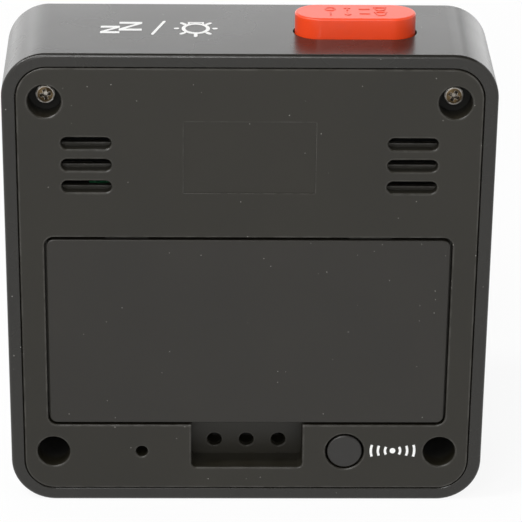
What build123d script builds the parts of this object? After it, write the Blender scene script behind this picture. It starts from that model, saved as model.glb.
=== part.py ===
from build123d import *
import math
import os

# Radio-controlled alarm clock with a square case that stands on its base.
# Millimetres. X runs to the right seen from the front, Y from front to rear, Z up.
# The origin is the middle of the base. The display faces -Y and the screwed rear panel +Y.

# Battery bay and its contacts
CELL_LENGTH = 50.5
CELL_DIAMETER = 14.2
CELL_CLEARANCE = 0.3
NUB_LENGTH = 1.3
NUB_DIAMETER = 5.5
CONTACT_THICKNESS = 0.4
CONTACT_SIDE = 11.0
TAB_WIDTH = 3.0
TAB_LENGTH = 2.2
TAB_SLOT_CLEARANCE = 0.1
SPRING_ROOM = 7.0
SPRING_SPAN = 10.0
SPRING_WIDTH = 6.0
SPRING_THICKNESS = 0.4
BAY_WALL = 1.2
DIVIDER_WIDTH = 1.0
DIVIDER_HEIGHT = 3.0
BAY_LENGTH = CELL_LENGTH + SPRING_ROOM + 2 * CONTACT_THICKNESS
BAY_HEIGHT = 2 * CELL_DIAMETER + 3 * CELL_CLEARANCE

# Battery door, with two tongues at its upper edge and a latch arm at its lower edge
DOOR_BOTTOM = 14.75
DOOR_LAP_SIDE = 4.1
DOOR_LAP_END = 2.0
DOOR_THICKNESS = 1.8
DOOR_GAP_SIDE = 0.35
DOOR_GAP_END = 0.5
DOOR_CORNER_RADIUS = 1.2
DOOR_BEVEL = 0.12
DOOR_RIB_DEPTH = 3.2
DOOR_RIB_WIDTH = 1.2
DOOR_RIB_LENGTH = 40.0
LEDGE_THICKNESS = 1.2
LEDGE_BORDER = 1.2
TONGUE_OFFSET = 20.0
TONGUE_WIDTH = 7.0
TONGUE_THICKNESS = 0.8
TONGUE_REACH = 2.2
TONGUE_CLEARANCE = 0.3
LIP_THICKNESS = 0.9
LATCH_WIDTH = 12.0
LATCH_THICKNESS = 0.5
LATCH_DEPTH = 3.6
LATCH_NUB = 0.2
DOOR_WIDTH = BAY_LENGTH + 2 * DOOR_LAP_SIDE
DOOR_HEIGHT = BAY_HEIGHT + 2 * DOOR_LAP_END
DOOR_TOP = DOOR_BOTTOM + DOOR_HEIGHT
DOOR_MIDDLE = DOOR_BOTTOM + DOOR_HEIGHT / 2
BAY_BOTTOM = DOOR_MIDDLE - BAY_HEIGHT / 2
BAY_TOP = DOOR_MIDDLE + BAY_HEIGHT / 2
CELL_RISE = (CELL_DIAMETER + CELL_CLEARANCE) / 2
BAY_END = BAY_LENGTH / 2

# Case shell, sized round the battery door
BESIDE_DOOR = 6.75
ABOVE_DOOR = 31.95
WIDTH = DOOR_WIDTH + 2 * BESIDE_DOOR
HEIGHT = DOOR_TOP + ABOVE_DOOR
CORNER_RADIUS = 7.4
SIDE_FLARE = 0.85
WALL = 2.2
FRONT_WALL = 3.0
FRONT_EDGE_RADIUS = 0.35
REAR_EDGE_RADIUS = 0.6
SEAM_BEVEL = 0.12
MOUTH_BEVEL = 0.15
BOSS_RADIUS = 3.0
WEB_THICKNESS = 1.2
WEB_DROP = 3.0
SEAT_RIB_WIDTH = 1.2
SEAT_RIB_HEIGHT = 1.6
SEAT_RIB_FROM_BASE = 20.0
SEAT_RIB_FROM_TOP = 24.0
SEAT_RIB_OFFSET = 20.0

# Depth, stacked from the front wall to the battery door
LCD_THICKNESS = 2.2
TRAY_THICKNESS = 2.8
BOARD_THICKNESS = 1.2
BOARD_TO_BAY = 1.0
BAY_FLOOR = 1.2
DEPTH = (FRONT_WALL + LCD_THICKNESS + TRAY_THICKNESS + BOARD_THICKNESS + BOARD_TO_BAY
         + BAY_FLOOR + CELL_DIAMETER + 2 * CELL_CLEARANCE + DOOR_THICKNESS)
FRONT = -DEPTH / 2
REAR = DEPTH / 2
WALL_IN = FRONT + FRONT_WALL
LCD_REAR = WALL_IN + LCD_THICKNESS
TRAY_REAR = LCD_REAR + TRAY_THICKNESS
BOARD_REAR = TRAY_REAR + BOARD_THICKNESS
BAY_FRONT = BOARD_REAR + BOARD_TO_BAY
BAY_IN = BAY_FRONT + BAY_FLOOR
CELL_Y = BAY_IN + CELL_CLEARANCE + CELL_DIAMETER / 2
DOOR_IN = REAR - DOOR_THICKNESS

# Rear panel
PANEL_THICKNESS = 2.0
PANEL_GAP = 0.14
PANEL_RIB_DEPTH = 1.6
PANEL_RIB_WIDTH = 1.0
PANEL_RIB_OFFSET = 12.0
PLATE_WIDTH = 21.5
PLATE_HEIGHT = 12.3
PLATE_FROM_TOP = 17.5
PLATE_RECESS = 0.12
PANEL_IN = REAR - PANEL_THICKNESS

# Screw wells at the four corners
WELL_RADIUS = 2.75
WELL_WALL = 1.1
WELL_SEAT = 1.4
TOP_WELL_INSET = 6.9
BOTTOM_WELL_INSET = 7.2
WELL_FROM_TOP = 8.0
TOP_WELL_DEPTH = 4.5
BOTTOM_WELL_DEPTH = 14.0

# Controls of the lower row: screw wells, reset hole and receive key share one height
CONTROL_ROW = 9.24

# Vent slots
VENT_LENGTH = 8.2
VENT_HEIGHT = 2.05
VENT_PITCH = 3.74
VENT_ROWS = 3
VENT_FROM_SIDE = 13.5
VENT_FROM_TOP = 15.1
VENT_LIP_HEIGHT = 0.64
VENT_LIP_RECESS = 1.8
VENT_LIP_THICKNESS = 1.0

# Finger notch under the door, with the sound holes in its floor
NOTCH_WIDTH = 18.9
NOTCH_BOTTOM = 6.2
NOTCH_DEPTH = 5.5
NOTCH_WALL = 1.2
NOTCH_CORNER_RADIUS = 0.8
SOUND_HOLE_DIAMETER = 2.4
SOUND_HOLE_PITCH = 5.5
SOUND_HOLE_COUNT = 3
SOUND_LEVEL = 8.8
DUCT_MARGIN = 0.4
DUCT_WALL = 1.0
NOTCH_FLOOR = REAR - NOTCH_DEPTH

# Tact switches, key travel and the round receive key
TACT_SIDE = 6.0
TACT_HEIGHT = 3.4
TACT_BORE_DEPTH = 2.2
TACT_PLUNGER_RADIUS = 1.7
TACT_PLUNGER_SINK = 1.2
TACT_CLEARANCE = 0.2
REAR_PLUNGER_REACH = 2.4
RECEIVE_X = -16.66
RECEIVE_DIAMETER = 5.9
RECEIVE_GAP = 0.35
RECEIVE_GUIDE_LENGTH = 7.0
RECEIVE_GUIDE_WALL = 1.1
RECEIVE_FLANGE_RADIUS = 4.2
RECEIVE_FLANGE_THICKNESS = 0.8
RECEIVE_STEM_RADIUS = 1.5
RESET_X = 17.85
RESET_DIAMETER = 2.0
RESET_GUIDE_WALL = 1.2
RESET_GUIDE_CLEARANCE = 2.0

# Setting keys in the front wall
KEY_NAMES = ("mode", "set", "minus", "plus")
KEY_PITCH = 13.2
KEY_LEVEL = 12.6
KEY_WIDTH = 10.0
KEY_HEIGHT = 4.6
KEY_CORNER_RADIUS = 1.6
KEY_GAP = 0.25
KEY_PROUD = 0.6
KEY_FLANGE = 0.8
KEY_FLANGE_THICKNESS = 0.8
TROUGH_DEPTH = 0.8
TROUGH_MARGIN = 2.2

# Front lens and display
LENS_THICKNESS = 1.5
LENS_RECESS = 0.2
LENS_GAP = 0.12
LENS_SIDE_MARGIN = 5.0
LENS_TOP_MARGIN = 9.0
LENS_BOTTOM = 21.0
LENS_CORNER_RADIUS = 4.0
VIEW_SIDE_MARGIN = 12.5
VIEW_TOP_MARGIN = 14.5
VIEW_BOTTOM = 28.8
VIEW_CORNER_RADIUS = 1.5
LCD_SIDE_MARGIN = 10.0
LCD_TOP_MARGIN = 13.0
LCD_BOTTOM = 25.0
LCD_CONTACT_LEDGE = 3.0
STRIP_WIDTH = 2.0
STRIP_LENGTH = 48.0
STRIP_CLEARANCE = 0.2
GUIDE_THICKNESS = 2.0
GUIDE_SIDE_MARGIN = 11.5
GUIDE_CLEARANCE = 0.2
LED_WIDTH = 3.0
LED_HEIGHT = 2.0
LED_DEPTH = 2.4
LED_OFFSET = 14.0
LED_CLEARANCE = 0.3
LCD_RIB_WIDTH = 1.0
LCD_RIB_HEIGHT = 1.8
LCD_RIB_LENGTH = 22.0
LCD_RIB_GAP = 0.3
LENS_SEAT = FRONT + LENS_RECESS + LENS_THICKNESS

# Tray behind the display, and the screws that hold tray and boards
TRAY_SIDE_MARGIN = 4.4
TRAY_TOP_MARGIN = 12.0
TRAY_BOTTOM = 19.4
TRAY_CORNER_RADIUS = 2.0
TRAY_SCREW_TOP_INSET = 6.8
TRAY_SCREW_TOP_MARGIN = 16.0
TRAY_SCREW_BOTTOM_INSET = 10.5
TRAY_SCREW_BOTTOM_LEVEL = 21.6
POST_RADIUS = 2.1
PILOT_END = 0.3
HOOK_WIDTH = 4.0
HOOK_THICKNESS = 1.2
HOOK_LAP = 0.6
HOOK_GAP = 0.12
HOOK_NOSE = 0.8
HOOK_PLACES = (-12.0, 19.0)
SCREW_CLEARANCE = 0.05

# Main board
BOARD_SIDE_MARGIN = 13.0
BOARD_BOTTOM = 4.4
BOARD_ABOVE_BAY = 5.75
BOARD_CUT_WIDTH = 6.5
BOARD_CUT_HEIGHT = 8.0
BOARD_SCREW_INSET = 15.2
BOARD_SCREW_LEVEL = 6.4
BATTERY_TAB_BOTTOM = 26.0
BATTERY_TAB_TOP = 37.0
PAD_DROP = 2.6
BUZZER_RADIUS = 6.0
BUZZER_HEIGHT = 8.0
CHIP_LENGTH = 10.0
CHIP_WIDTH = 3.9
CHIP_X = -4.0
CHIP_LEGS = 8
CHIP_LEG_WIDTH = 0.4
CHIP_LEG_REACH = 0.9
CHIP_LEG_THICKNESS = 0.2
BLOB_RADIUS = 3.5
BLOB_HEIGHT = 1.5
BLOB_X = 10.6
CRYSTAL_RADIUS = 1.0
CRYSTAL_LENGTH = 6.0
CRYSTAL_X = -9.6
BOARD_TOP = BAY_TOP + BAY_WALL + BOARD_ABOVE_BAY
PAD_LEVEL = BOARD_TOP - PAD_DROP

# Alarm button in the top wall, with a latching switch on its own small board
BUTTON_FROM_SIDE = 22.7
BUTTON_LENGTH = 19.8
BUTTON_WIDTH = 8.2
BUTTON_PROUD = 3.4
BUTTON_GAP = 0.3
BUTTON_EDGE_RADIUS = 0.35
BUTTON_WALL = 1.3
BUTTON_FLANGE = 1.2
BUTTON_FLANGE_THICKNESS = 1.2
BUTTON_TRAVEL = 2.4
BUTTON_STEM = 4.4
PLUNGER_SIDE = 3.0
PLUNGER_SOCKET = 3.0
PLUNGER_SINK = 2.6
PLUNGER_CLEARANCE = 0.15
SWITCH_SIDE = 8.0
SWITCH_HEIGHT = 8.0
SWITCH_ABOVE_SCREWS = 2.0
SWITCH_BORE_DEPTH = 5.8
SWITCH_TO_STEM = 1.3
SWITCH_BOARD_EDGE = 2.0
SWITCH_BOARD_LEFT_REACH = 5.1
SWITCH_BOARD_RIGHT_REACH = 8.7
SWITCH_BOSS_HEIGHT = 2.1
SWITCH_BOSS_GAP = 0.5
BUTTON_X = BUTTON_FROM_SIDE - WIDTH / 2
BUTTON_TOP = HEIGHT + BUTTON_PROUD
SWITCH_BOARD_LEFT = BUTTON_X - SWITCH_BOARD_LEFT_REACH
SWITCH_BOARD_RIGHT = BUTTON_X + SWITCH_BOARD_RIGHT_REACH
SWITCH_BOARD_REAR = TRAY_REAR + SWITCH_BOSS_HEIGHT + BOARD_THICKNESS
BUTTON_Y = SWITCH_BOARD_REAR + SWITCH_SIDE / 2
SWITCH_SCREW_LEVEL = BOARD_TOP + HOOK_GAP + HOOK_THICKNESS + SWITCH_BOSS_GAP + POST_RADIUS
SWITCH_BOTTOM = SWITCH_SCREW_LEVEL + SWITCH_ABOVE_SCREWS
SWITCH_TOP = SWITCH_BOTTOM + SWITCH_HEIGHT
STEM_BOTTOM = SWITCH_TOP + BUTTON_TRAVEL + SWITCH_TO_STEM

# Radio antenna and touch foil under the top wall
ROD_RADIUS = 2.8
ROD_LENGTH = 48.0
ROD_FROM_TOP = 7.1
ROD_FRONT_GAP = 0.8
ROD_CLEARANCE = 0.05
COIL_RADIUS = 3.4
COIL_START = 1.0
COIL_LENGTH = 18.0
CRADLE_PLACES = (-14.0, 22.0)
CRADLE_WIDTH = 1.6
CRADLE_MARGIN = 0.9
CRADLE_WRAP = 1.0
FOIL_X = 15.0
FOIL_LENGTH = 22.0
FOIL_WIDTH = 8.2
FOIL_THICKNESS = 0.2
ROD_Y = WALL_IN + ROD_FRONT_GAP + ROD_RADIUS
ROD_Z = HEIGHT - ROD_FROM_TOP

# Leads
BATTERY_LEAD_DIAMETER = 1.1
RIBBON_THICKNESS = 0.7
SWITCH_RIBBON_SHIFT = 1.8
SWITCH_RIBBON_WIDTH = 4.2
ANTENNA_RIBBON_X = 7.0
ANTENNA_RIBBON_WIDTH = 2.0
TOUCH_RIBBON_X = 15.0
TOUCH_RIBBON_WIDTH = 2.0
LEAD_BOW = 4.0
BATTERY_LEAD_DROP = 4.0

# Screws: long ones for the case, short ones for tray and boards
CASE_HEAD_RADIUS = 1.7
CASE_HEAD_HEIGHT = 1.6
CASE_SHANK_RADIUS = 1.0
CASE_SHANK_LENGTH = 8.0
SMALL_HEAD_RADIUS = 1.5
SMALL_HEAD_HEIGHT = 0.9
SMALL_SHANK_RADIUS = 0.8
SMALL_SHANK_LENGTH = 4.0
RECESS_WIDTH = 0.45
RECESS_SPAN = 0.62
RECESS_DEPTH = 0.45
CROWN_BEVEL = 0.4


# Shared shapes

def slab(outline, front, rear):
    """Solid of an outline drawn in X and Z, from one depth to another."""
    return extrude(Plane.XZ.offset(-rear) * outline, rear - front)


def column(outline, bottom, top):
    """Solid of an outline drawn in X and Y, from one height to another."""
    return extrude(Plane.XY.offset(bottom) * outline, top - bottom)


def disc(x, z, radius):
    """Circle at a place in X and Z."""
    return Pos(x, z) * Circle(radius)


def frame(x, z, radius=0.0):
    """Rectangle in X and Z between low and high values, with rounded corners if asked."""
    width = x[1] - x[0]
    height = z[1] - z[0]
    middle = Pos((x[0] + x[1]) / 2, (z[0] + z[1]) / 2)
    if radius:
        return middle * RectangleRounded(width, height, radius)
    return middle * Rectangle(width, height)


def block(x, y, z):
    """Box between low and high values on each axis."""
    return slab(frame(x, z), y[0], y[1])


def around(middle, size):
    """Low and high value of a size centred on a middle."""
    return middle - size / 2, middle + size / 2


def mouth(outline, bevel, face=REAR):
    """Cutter for a 45 degree bevel in a face that looks to the rear, its outline given at that face."""
    return extrude(Plane.XZ.offset(-face) * outline, bevel, taper=45)


def case_outline(inset):
    """Outline of the case, drawn in on all sides."""
    rounded = RectangleRounded(WIDTH - 2 * inset, HEIGHT - 2 * inset, CORNER_RADIUS - inset)
    return Pos(0, HEIGHT / 2) * rounded


def flared_form(inset, front):
    """Solid inside the case outline, from the rear rim to a depth, with sides that lean out to the front."""
    half = case_outline(inset) & frame((0.0, WIDTH), (0.0, HEIGHT))
    lean = Vector(SIDE_FLARE * (REAR - front) / DEPTH, front - REAR, 0)
    side = extrude(Plane.XZ.offset(-REAR) * half, lean.length, dir=lean)
    middle = block(around(0.0, WIDTH / 2), (front, REAR), (inset, HEIGHT - inset))
    return side + mirror(side, about=Plane.YZ) + middle


def well_places():
    """Screw wells as X, Z and the depth of the seat under the screw head."""
    for side in (-1, 1):
        yield side * (WIDTH / 2 - TOP_WELL_INSET), HEIGHT - WELL_FROM_TOP, REAR - TOP_WELL_DEPTH
        yield side * (WIDTH / 2 - BOTTOM_WELL_INSET), CONTROL_ROW, REAR - BOTTOM_WELL_DEPTH


def tray_screw_places():
    """Screws that hold the tray to the front wall, as X and Z."""
    for side in (-1, 1):
        yield side * (WIDTH / 2 - TRAY_SCREW_TOP_INSET), HEIGHT - TRAY_SCREW_TOP_MARGIN
        yield side * (WIDTH / 2 - TRAY_SCREW_BOTTOM_INSET), TRAY_SCREW_BOTTOM_LEVEL


def board_screw_places():
    """Screws that hold the main board to the front wall, as X and Z."""
    for side in (-1, 1):
        yield side * (WIDTH / 2 - BOARD_SCREW_INSET), BOARD_SCREW_LEVEL


def switch_screw_places():
    """Screws that hold the switch board to the tray, as X and Z."""
    yield SWITCH_BOARD_LEFT + SWITCH_BOARD_EDGE, SWITCH_SCREW_LEVEL
    yield SWITCH_BOARD_RIGHT - SWITCH_BOARD_EDGE, SWITCH_SCREW_LEVEL


def key_places():
    """Setting keys as name and X."""
    for number, name in enumerate(KEY_NAMES):
        yield name, (number - (len(KEY_NAMES) - 1) / 2) * KEY_PITCH


def tongue_places():
    """X ranges of the two door tongues."""
    for side in (-1, 1):
        yield around(side * TONGUE_OFFSET, TONGUE_WIDTH)


def wider(span, margin):
    """A low and high value moved apart by a margin on each side."""
    return span[0] - margin, span[1] + margin


# Case

def make_case_shell():
    """Front wall and four side walls in one moulding, with bosses, posts and ribs inside."""
    shell = flared_form(0.0, FRONT)
    shell = fillet(shell.edges().group_by(Axis.Y)[0], FRONT_EDGE_RADIUS)
    shell = fillet(shell.edges().group_by(Axis.Y)[-1], REAR_EDGE_RADIUS)
    shell -= flared_form(WALL, WALL_IN)
    shell -= mouth(case_outline(WALL - SEAM_BEVEL), SEAM_BEVEL)
    inside = WIDTH / 2 - WALL
    rooted = inside + SIDE_FLARE
    for x, z, seat in well_places():
        boss_top = seat - WELL_SEAT
        shell += slab(disc(x, z, BOSS_RADIUS), WALL_IN, boss_top)
        web = (x, rooted) if x > 0 else (-rooted, x)
        shell += block(web, (WALL_IN, boss_top - WEB_DROP), around(z, WEB_THICKNESS))
        shell -= slab(disc(x, z, CASE_SHANK_RADIUS + SCREW_CLEARANCE),
                      seat - CASE_SHANK_LENGTH - PILOT_END, boss_top)
    rib_depth = (WALL_IN, PANEL_IN)
    for level in (SEAT_RIB_FROM_BASE, HEIGHT - SEAT_RIB_FROM_TOP):
        shell += block((inside - SEAT_RIB_HEIGHT, rooted), rib_depth, around(level, SEAT_RIB_WIDTH))
        shell += block((-rooted, SEAT_RIB_HEIGHT - inside), rib_depth, around(level, SEAT_RIB_WIDTH))
    for x in (-SEAT_RIB_OFFSET, SEAT_RIB_OFFSET):
        shell += block(around(x, SEAT_RIB_WIDTH), rib_depth, (WALL, WALL + SEAT_RIB_HEIGHT))
    roof = HEIGHT - WALL
    shell += block(around(0.0, SEAT_RIB_WIDTH), rib_depth, (roof - SEAT_RIB_HEIGHT, roof))
    shell = add_front_details(shell)
    for x in CRADLE_PLACES:
        reach = ROD_RADIUS + CRADLE_MARGIN
        cradle = block(around(x, CRADLE_WIDTH), (WALL_IN, ROD_Y + CRADLE_WRAP), around(ROD_Z, 2 * reach))
        shell += cradle - rod_along_x(x - CRADLE_WIDTH, x + CRADLE_WIDTH, ROD_RADIUS + ROD_CLEARANCE)
    hole = SlotOverall(BUTTON_LENGTH + 2 * BUTTON_GAP, BUTTON_WIDTH + 2 * BUTTON_GAP)
    shell -= column(Pos(BUTTON_X, BUTTON_Y) * hole, roof, HEIGHT)
    return shell


def add_front_details(shell):
    """Lens pocket, window, key trough and holes, posts and locating ribs of the front wall."""
    shell -= slab(lens_outline(0.0), FRONT, LENS_SEAT)
    view = frame((VIEW_SIDE_MARGIN - WIDTH / 2, WIDTH / 2 - VIEW_SIDE_MARGIN),
                 (VIEW_BOTTOM, HEIGHT - VIEW_TOP_MARGIN), VIEW_CORNER_RADIUS)
    shell -= slab(view, LENS_SEAT, WALL_IN)
    row = (len(KEY_NAMES) - 1) * KEY_PITCH + KEY_WIDTH
    trough = frame(around(0.0, row + 2 * TROUGH_MARGIN), around(KEY_LEVEL, KEY_HEIGHT + 2 * TROUGH_MARGIN),
                   KEY_CORNER_RADIUS + TROUGH_MARGIN)
    shell -= slab(trough, FRONT, FRONT + TROUGH_DEPTH)
    for _, x in key_places():
        shell -= slab(key_outline(x, KEY_GAP), FRONT, WALL_IN)
    for x, z in tray_screw_places():
        shell += slab(disc(x, z, POST_RADIUS), WALL_IN, LCD_REAR)
        shell -= small_pilot(x, z, TRAY_REAR)
    for x, z in board_screw_places():
        shell += slab(disc(x, z, POST_RADIUS), WALL_IN, TRAY_REAR)
        shell -= small_pilot(x, z, BOARD_REAR)
    edge = WIDTH / 2 - LCD_SIDE_MARGIN + LCD_RIB_GAP
    middle = (LCD_BOTTOM + HEIGHT - LCD_TOP_MARGIN) / 2
    for low in (edge, -edge - LCD_RIB_WIDTH):
        shell += block((low, low + LCD_RIB_WIDTH), (WALL_IN, WALL_IN + LCD_RIB_HEIGHT),
                       around(middle, LCD_RIB_LENGTH))
    return shell


def small_pilot(x, z, seat):
    """Pilot hole for a short screw whose head sits at a depth."""
    end = seat - SMALL_SHANK_LENGTH - PILOT_END
    return slab(disc(x, z, SMALL_SHANK_RADIUS + SCREW_CLEARANCE), end, seat)


def lens_outline(inset):
    """Outline of the lens pocket, drawn in on all sides."""
    side = WIDTH / 2 - LENS_SIDE_MARGIN - inset
    return frame((-side, side), (LENS_BOTTOM + inset, HEIGHT - LENS_TOP_MARGIN - inset),
                 LENS_CORNER_RADIUS - inset)


def make_rear_panel():
    """Rear panel in one moulding: battery bay, door ledge, screw wells, vents, notch and guides."""
    panel = slab(case_outline(WALL + PANEL_GAP), PANEL_IN, REAR)
    panel = chamfer(panel.edges().group_by(Axis.Y)[-1], SEAM_BEVEL)
    for x in (-PANEL_RIB_OFFSET, PANEL_RIB_OFFSET):
        rib_top = HEIGHT - WALL - PANEL_GAP - SEAT_RIB_HEIGHT
        rib_bottom = DOOR_TOP + TONGUE_REACH + 2 * TONGUE_CLEARANCE
        panel += block(around(x, PANEL_RIB_WIDTH), (PANEL_IN - PANEL_RIB_DEPTH, PANEL_IN),
                       (rib_bottom, rib_top))
    panel -= slab(frame(around(0.0, PLATE_WIDTH), around(HEIGHT - PLATE_FROM_TOP, PLATE_HEIGHT)),
                  REAR - PLATE_RECESS, REAR)
    panel = add_bay(panel)
    panel = add_notch(panel)
    for x, z, seat in well_places():
        panel += slab(disc(x, z, WELL_RADIUS + WELL_WALL), seat - WELL_SEAT, PANEL_IN)
        panel -= slab(disc(x, z, WELL_RADIUS), seat, REAR)
        panel -= mouth(disc(x, z, WELL_RADIUS + MOUTH_BEVEL), MOUTH_BEVEL)
        panel -= slab(disc(x, z, CASE_SHANK_RADIUS + SCREW_CLEARANCE), seat - WELL_SEAT, seat)
    for side in (-1, 1):
        for row in range(VENT_ROWS):
            place = Pos(side * (WIDTH / 2 - VENT_FROM_SIDE), HEIGHT - VENT_FROM_TOP - row * VENT_PITCH)
            panel -= slab(place * SlotOverall(VENT_LENGTH, VENT_HEIGHT), PANEL_IN, REAR)
            wide = SlotOverall(VENT_LENGTH + 2 * MOUTH_BEVEL, VENT_HEIGHT + 2 * MOUTH_BEVEL)
            panel -= mouth(place * wide, MOUTH_BEVEL)
            panel += make_vent_lip(place)
    return add_guides(panel)


def make_vent_lip(place):
    """Low lip behind the lower edge of a vent slot, against dust."""
    low = -VENT_HEIGHT / 2 - VENT_LIP_HEIGHT
    high = VENT_LIP_HEIGHT - VENT_HEIGHT / 2
    rear = REAR - VENT_LIP_RECESS
    return slab(place * frame(around(0.0, VENT_LENGTH), (low, high)), rear - VENT_LIP_THICKNESS, rear)


def add_bay(panel):
    """Battery bay with its ledge for the door, divider, contact slots and tongue pockets."""
    opening_x = around(0.0, DOOR_WIDTH + 2 * DOOR_GAP_SIDE)
    opening_z = wider((DOOR_BOTTOM, DOOR_TOP), DOOR_GAP_END)
    opening_radius = DOOR_CORNER_RADIUS + DOOR_GAP_SIDE
    bay_x = (-BAY_END, BAY_END)
    bay_z = (BAY_BOTTOM, BAY_TOP)
    ledge = DOOR_IN - LEDGE_THICKNESS
    panel += block(wider(opening_x, LEDGE_BORDER), (ledge, DOOR_IN), wider(opening_z, LEDGE_BORDER))
    panel += block(wider(bay_x, BAY_WALL), (BAY_FRONT, DOOR_IN), wider(bay_z, BAY_WALL))
    panel -= slab(frame(opening_x, opening_z, opening_radius), DOOR_IN, REAR)
    panel -= mouth(frame(wider(opening_x, DOOR_BEVEL), wider(opening_z, DOOR_BEVEL),
                         opening_radius + DOOR_BEVEL), DOOR_BEVEL)
    panel -= block(bay_x, (BAY_IN, DOOR_IN), bay_z)
    panel += block(wider(bay_x, -2 * CONTACT_THICKNESS), (BAY_IN, BAY_IN + DIVIDER_HEIGHT),
                   around(DOOR_MIDDLE, DIVIDER_WIDTH))
    for x in tongue_places():
        room = wider(x, TONGUE_CLEARANCE)
        top = DOOR_TOP + TONGUE_REACH + TONGUE_CLEARANCE
        panel -= block(room, (ledge, REAR - LIP_THICKNESS), (DOOR_TOP, top))
        panel -= block(room, (ledge, DOOR_IN), (BAY_TOP + BAY_WALL, top + LEDGE_BORDER))
    for rise in (-CELL_RISE, CELL_RISE):
        slot_z = around(DOOR_MIDDLE + rise, CONTACT_THICKNESS + 2 * TAB_SLOT_CLEARANCE)
        panel -= block((-BAY_END - BAY_WALL, -BAY_END),
                       around(CELL_Y, TAB_WIDTH + 2 * TAB_SLOT_CLEARANCE), slot_z)
    return panel


def add_notch(panel):
    """Finger notch that opens under the door, with sound holes and the duct behind them."""
    notch_x = around(0.0, NOTCH_WIDTH)
    notch_top = BAY_BOTTOM - BAY_WALL
    back = NOTCH_FLOOR - NOTCH_WALL
    panel += block(wider(notch_x, NOTCH_WALL), (back, PANEL_IN), (NOTCH_BOTTOM - NOTCH_WALL, notch_top))
    panel -= slab(frame(notch_x, (NOTCH_BOTTOM, notch_top), NOTCH_CORNER_RADIUS), NOTCH_FLOOR, REAR)
    panel -= mouth(frame(wider(notch_x, MOUTH_BEVEL), (NOTCH_BOTTOM - MOUTH_BEVEL, notch_top),
                         NOTCH_CORNER_RADIUS + MOUTH_BEVEL), MOUTH_BEVEL)
    span = (SOUND_HOLE_COUNT - 1) * SOUND_HOLE_PITCH
    bore = SlotOverall(span + SOUND_HOLE_DIAMETER + 2 * DUCT_MARGIN, SOUND_HOLE_DIAMETER + 2 * DUCT_MARGIN)
    rim = SlotOverall(span + SOUND_HOLE_DIAMETER + 2 * (DUCT_MARGIN + DUCT_WALL),
                      SOUND_HOLE_DIAMETER + 2 * (DUCT_MARGIN + DUCT_WALL))
    duct_end = BOARD_REAR + BUZZER_HEIGHT + TACT_CLEARANCE
    panel += slab(Pos(0, SOUND_LEVEL) * (rim - bore), duct_end, back)
    for number in range(SOUND_HOLE_COUNT):
        x = number * SOUND_HOLE_PITCH - span / 2
        panel -= slab(disc(x, SOUND_LEVEL, SOUND_HOLE_DIAMETER / 2), back, NOTCH_FLOOR)
        panel -= mouth(disc(x, SOUND_LEVEL, SOUND_HOLE_DIAMETER / 2 + MOUTH_BEVEL), MOUTH_BEVEL, NOTCH_FLOOR)
    return panel


def add_guides(panel):
    """Guide tubes of the receive key and of the reset pin hole."""
    bore = RECEIVE_DIAMETER / 2 + RECEIVE_GAP
    guide_end = REAR - RECEIVE_GUIDE_LENGTH
    panel += slab(disc(RECEIVE_X, CONTROL_ROW, bore + RECEIVE_GUIDE_WALL), guide_end, PANEL_IN)
    panel -= slab(disc(RECEIVE_X, CONTROL_ROW, bore), guide_end, REAR)
    panel -= mouth(disc(RECEIVE_X, CONTROL_ROW, bore + MOUTH_BEVEL), MOUTH_BEVEL)
    pin = RESET_DIAMETER / 2
    pin_end = rear_plunger_tip() + RESET_GUIDE_CLEARANCE
    panel += slab(disc(RESET_X, CONTROL_ROW, pin + RESET_GUIDE_WALL), pin_end, PANEL_IN)
    panel -= slab(disc(RESET_X, CONTROL_ROW, pin), pin_end, REAR)
    panel -= mouth(disc(RESET_X, CONTROL_ROW, pin + MOUTH_BEVEL), MOUTH_BEVEL)
    return panel


def make_battery_door():
    """Door plate with tongues above, a latch arm below and a rib between the cells."""
    plate = slab(frame(around(0.0, DOOR_WIDTH), (DOOR_BOTTOM, DOOR_TOP), DOOR_CORNER_RADIUS), DOOR_IN, REAR)
    door = chamfer(plate.edges().group_by(Axis.Y)[-1], DOOR_BEVEL)
    for x in tongue_places():
        door += block(x, (DOOR_IN, DOOR_IN + TONGUE_THICKNESS),
                      (DOOR_TOP - TONGUE_REACH, DOOR_TOP + TONGUE_REACH))
    latch_x = around(0.0, LATCH_WIDTH)
    arm_end = DOOR_IN - LATCH_DEPTH
    arm_top = DOOR_BOTTOM + LATCH_THICKNESS
    door += block(latch_x, (arm_end, DOOR_IN), (DOOR_BOTTOM, arm_top))
    door += block(latch_x, (arm_end, arm_end + LATCH_NUB), (arm_top, arm_top + LATCH_NUB))
    door += block(around(0.0, DOOR_RIB_LENGTH), (DOOR_IN - DOOR_RIB_DEPTH, DOOR_IN),
                  around(DOOR_MIDDLE, DOOR_RIB_WIDTH))
    return door


# Front lens and display

def make_front_lens():
    """Clear window set into the front pocket."""
    lens = slab(lens_outline(LENS_GAP), LENS_SEAT - LENS_THICKNESS, LENS_SEAT)
    return chamfer(lens.edges().group_by(Axis.Y)[0], LENS_GAP)


def make_lcd_glass():
    """Two glass sheets, the front one longer to leave a contact ledge below."""
    side = WIDTH / 2 - LCD_SIDE_MARGIN
    middle = WALL_IN + LCD_THICKNESS / 2
    top = HEIGHT - LCD_TOP_MARGIN
    glass = block((-side, side), (WALL_IN, middle), (LCD_BOTTOM, top))
    return glass + block((-side, side), (middle, LCD_REAR), (LCD_BOTTOM + LCD_CONTACT_LEDGE, top))


def strip_range():
    """Low and high Z of the contact strip, centred on the contact ledge but clear of the rear sheet."""
    return around(LCD_BOTTOM + LCD_CONTACT_LEDGE / 2, STRIP_WIDTH)


def make_contact_strip():
    """Elastic strip between the display's contact ledge and the main board."""
    return block(around(0.0, STRIP_LENGTH), (WALL_IN + LCD_THICKNESS / 2, TRAY_REAR), strip_range())


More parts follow.
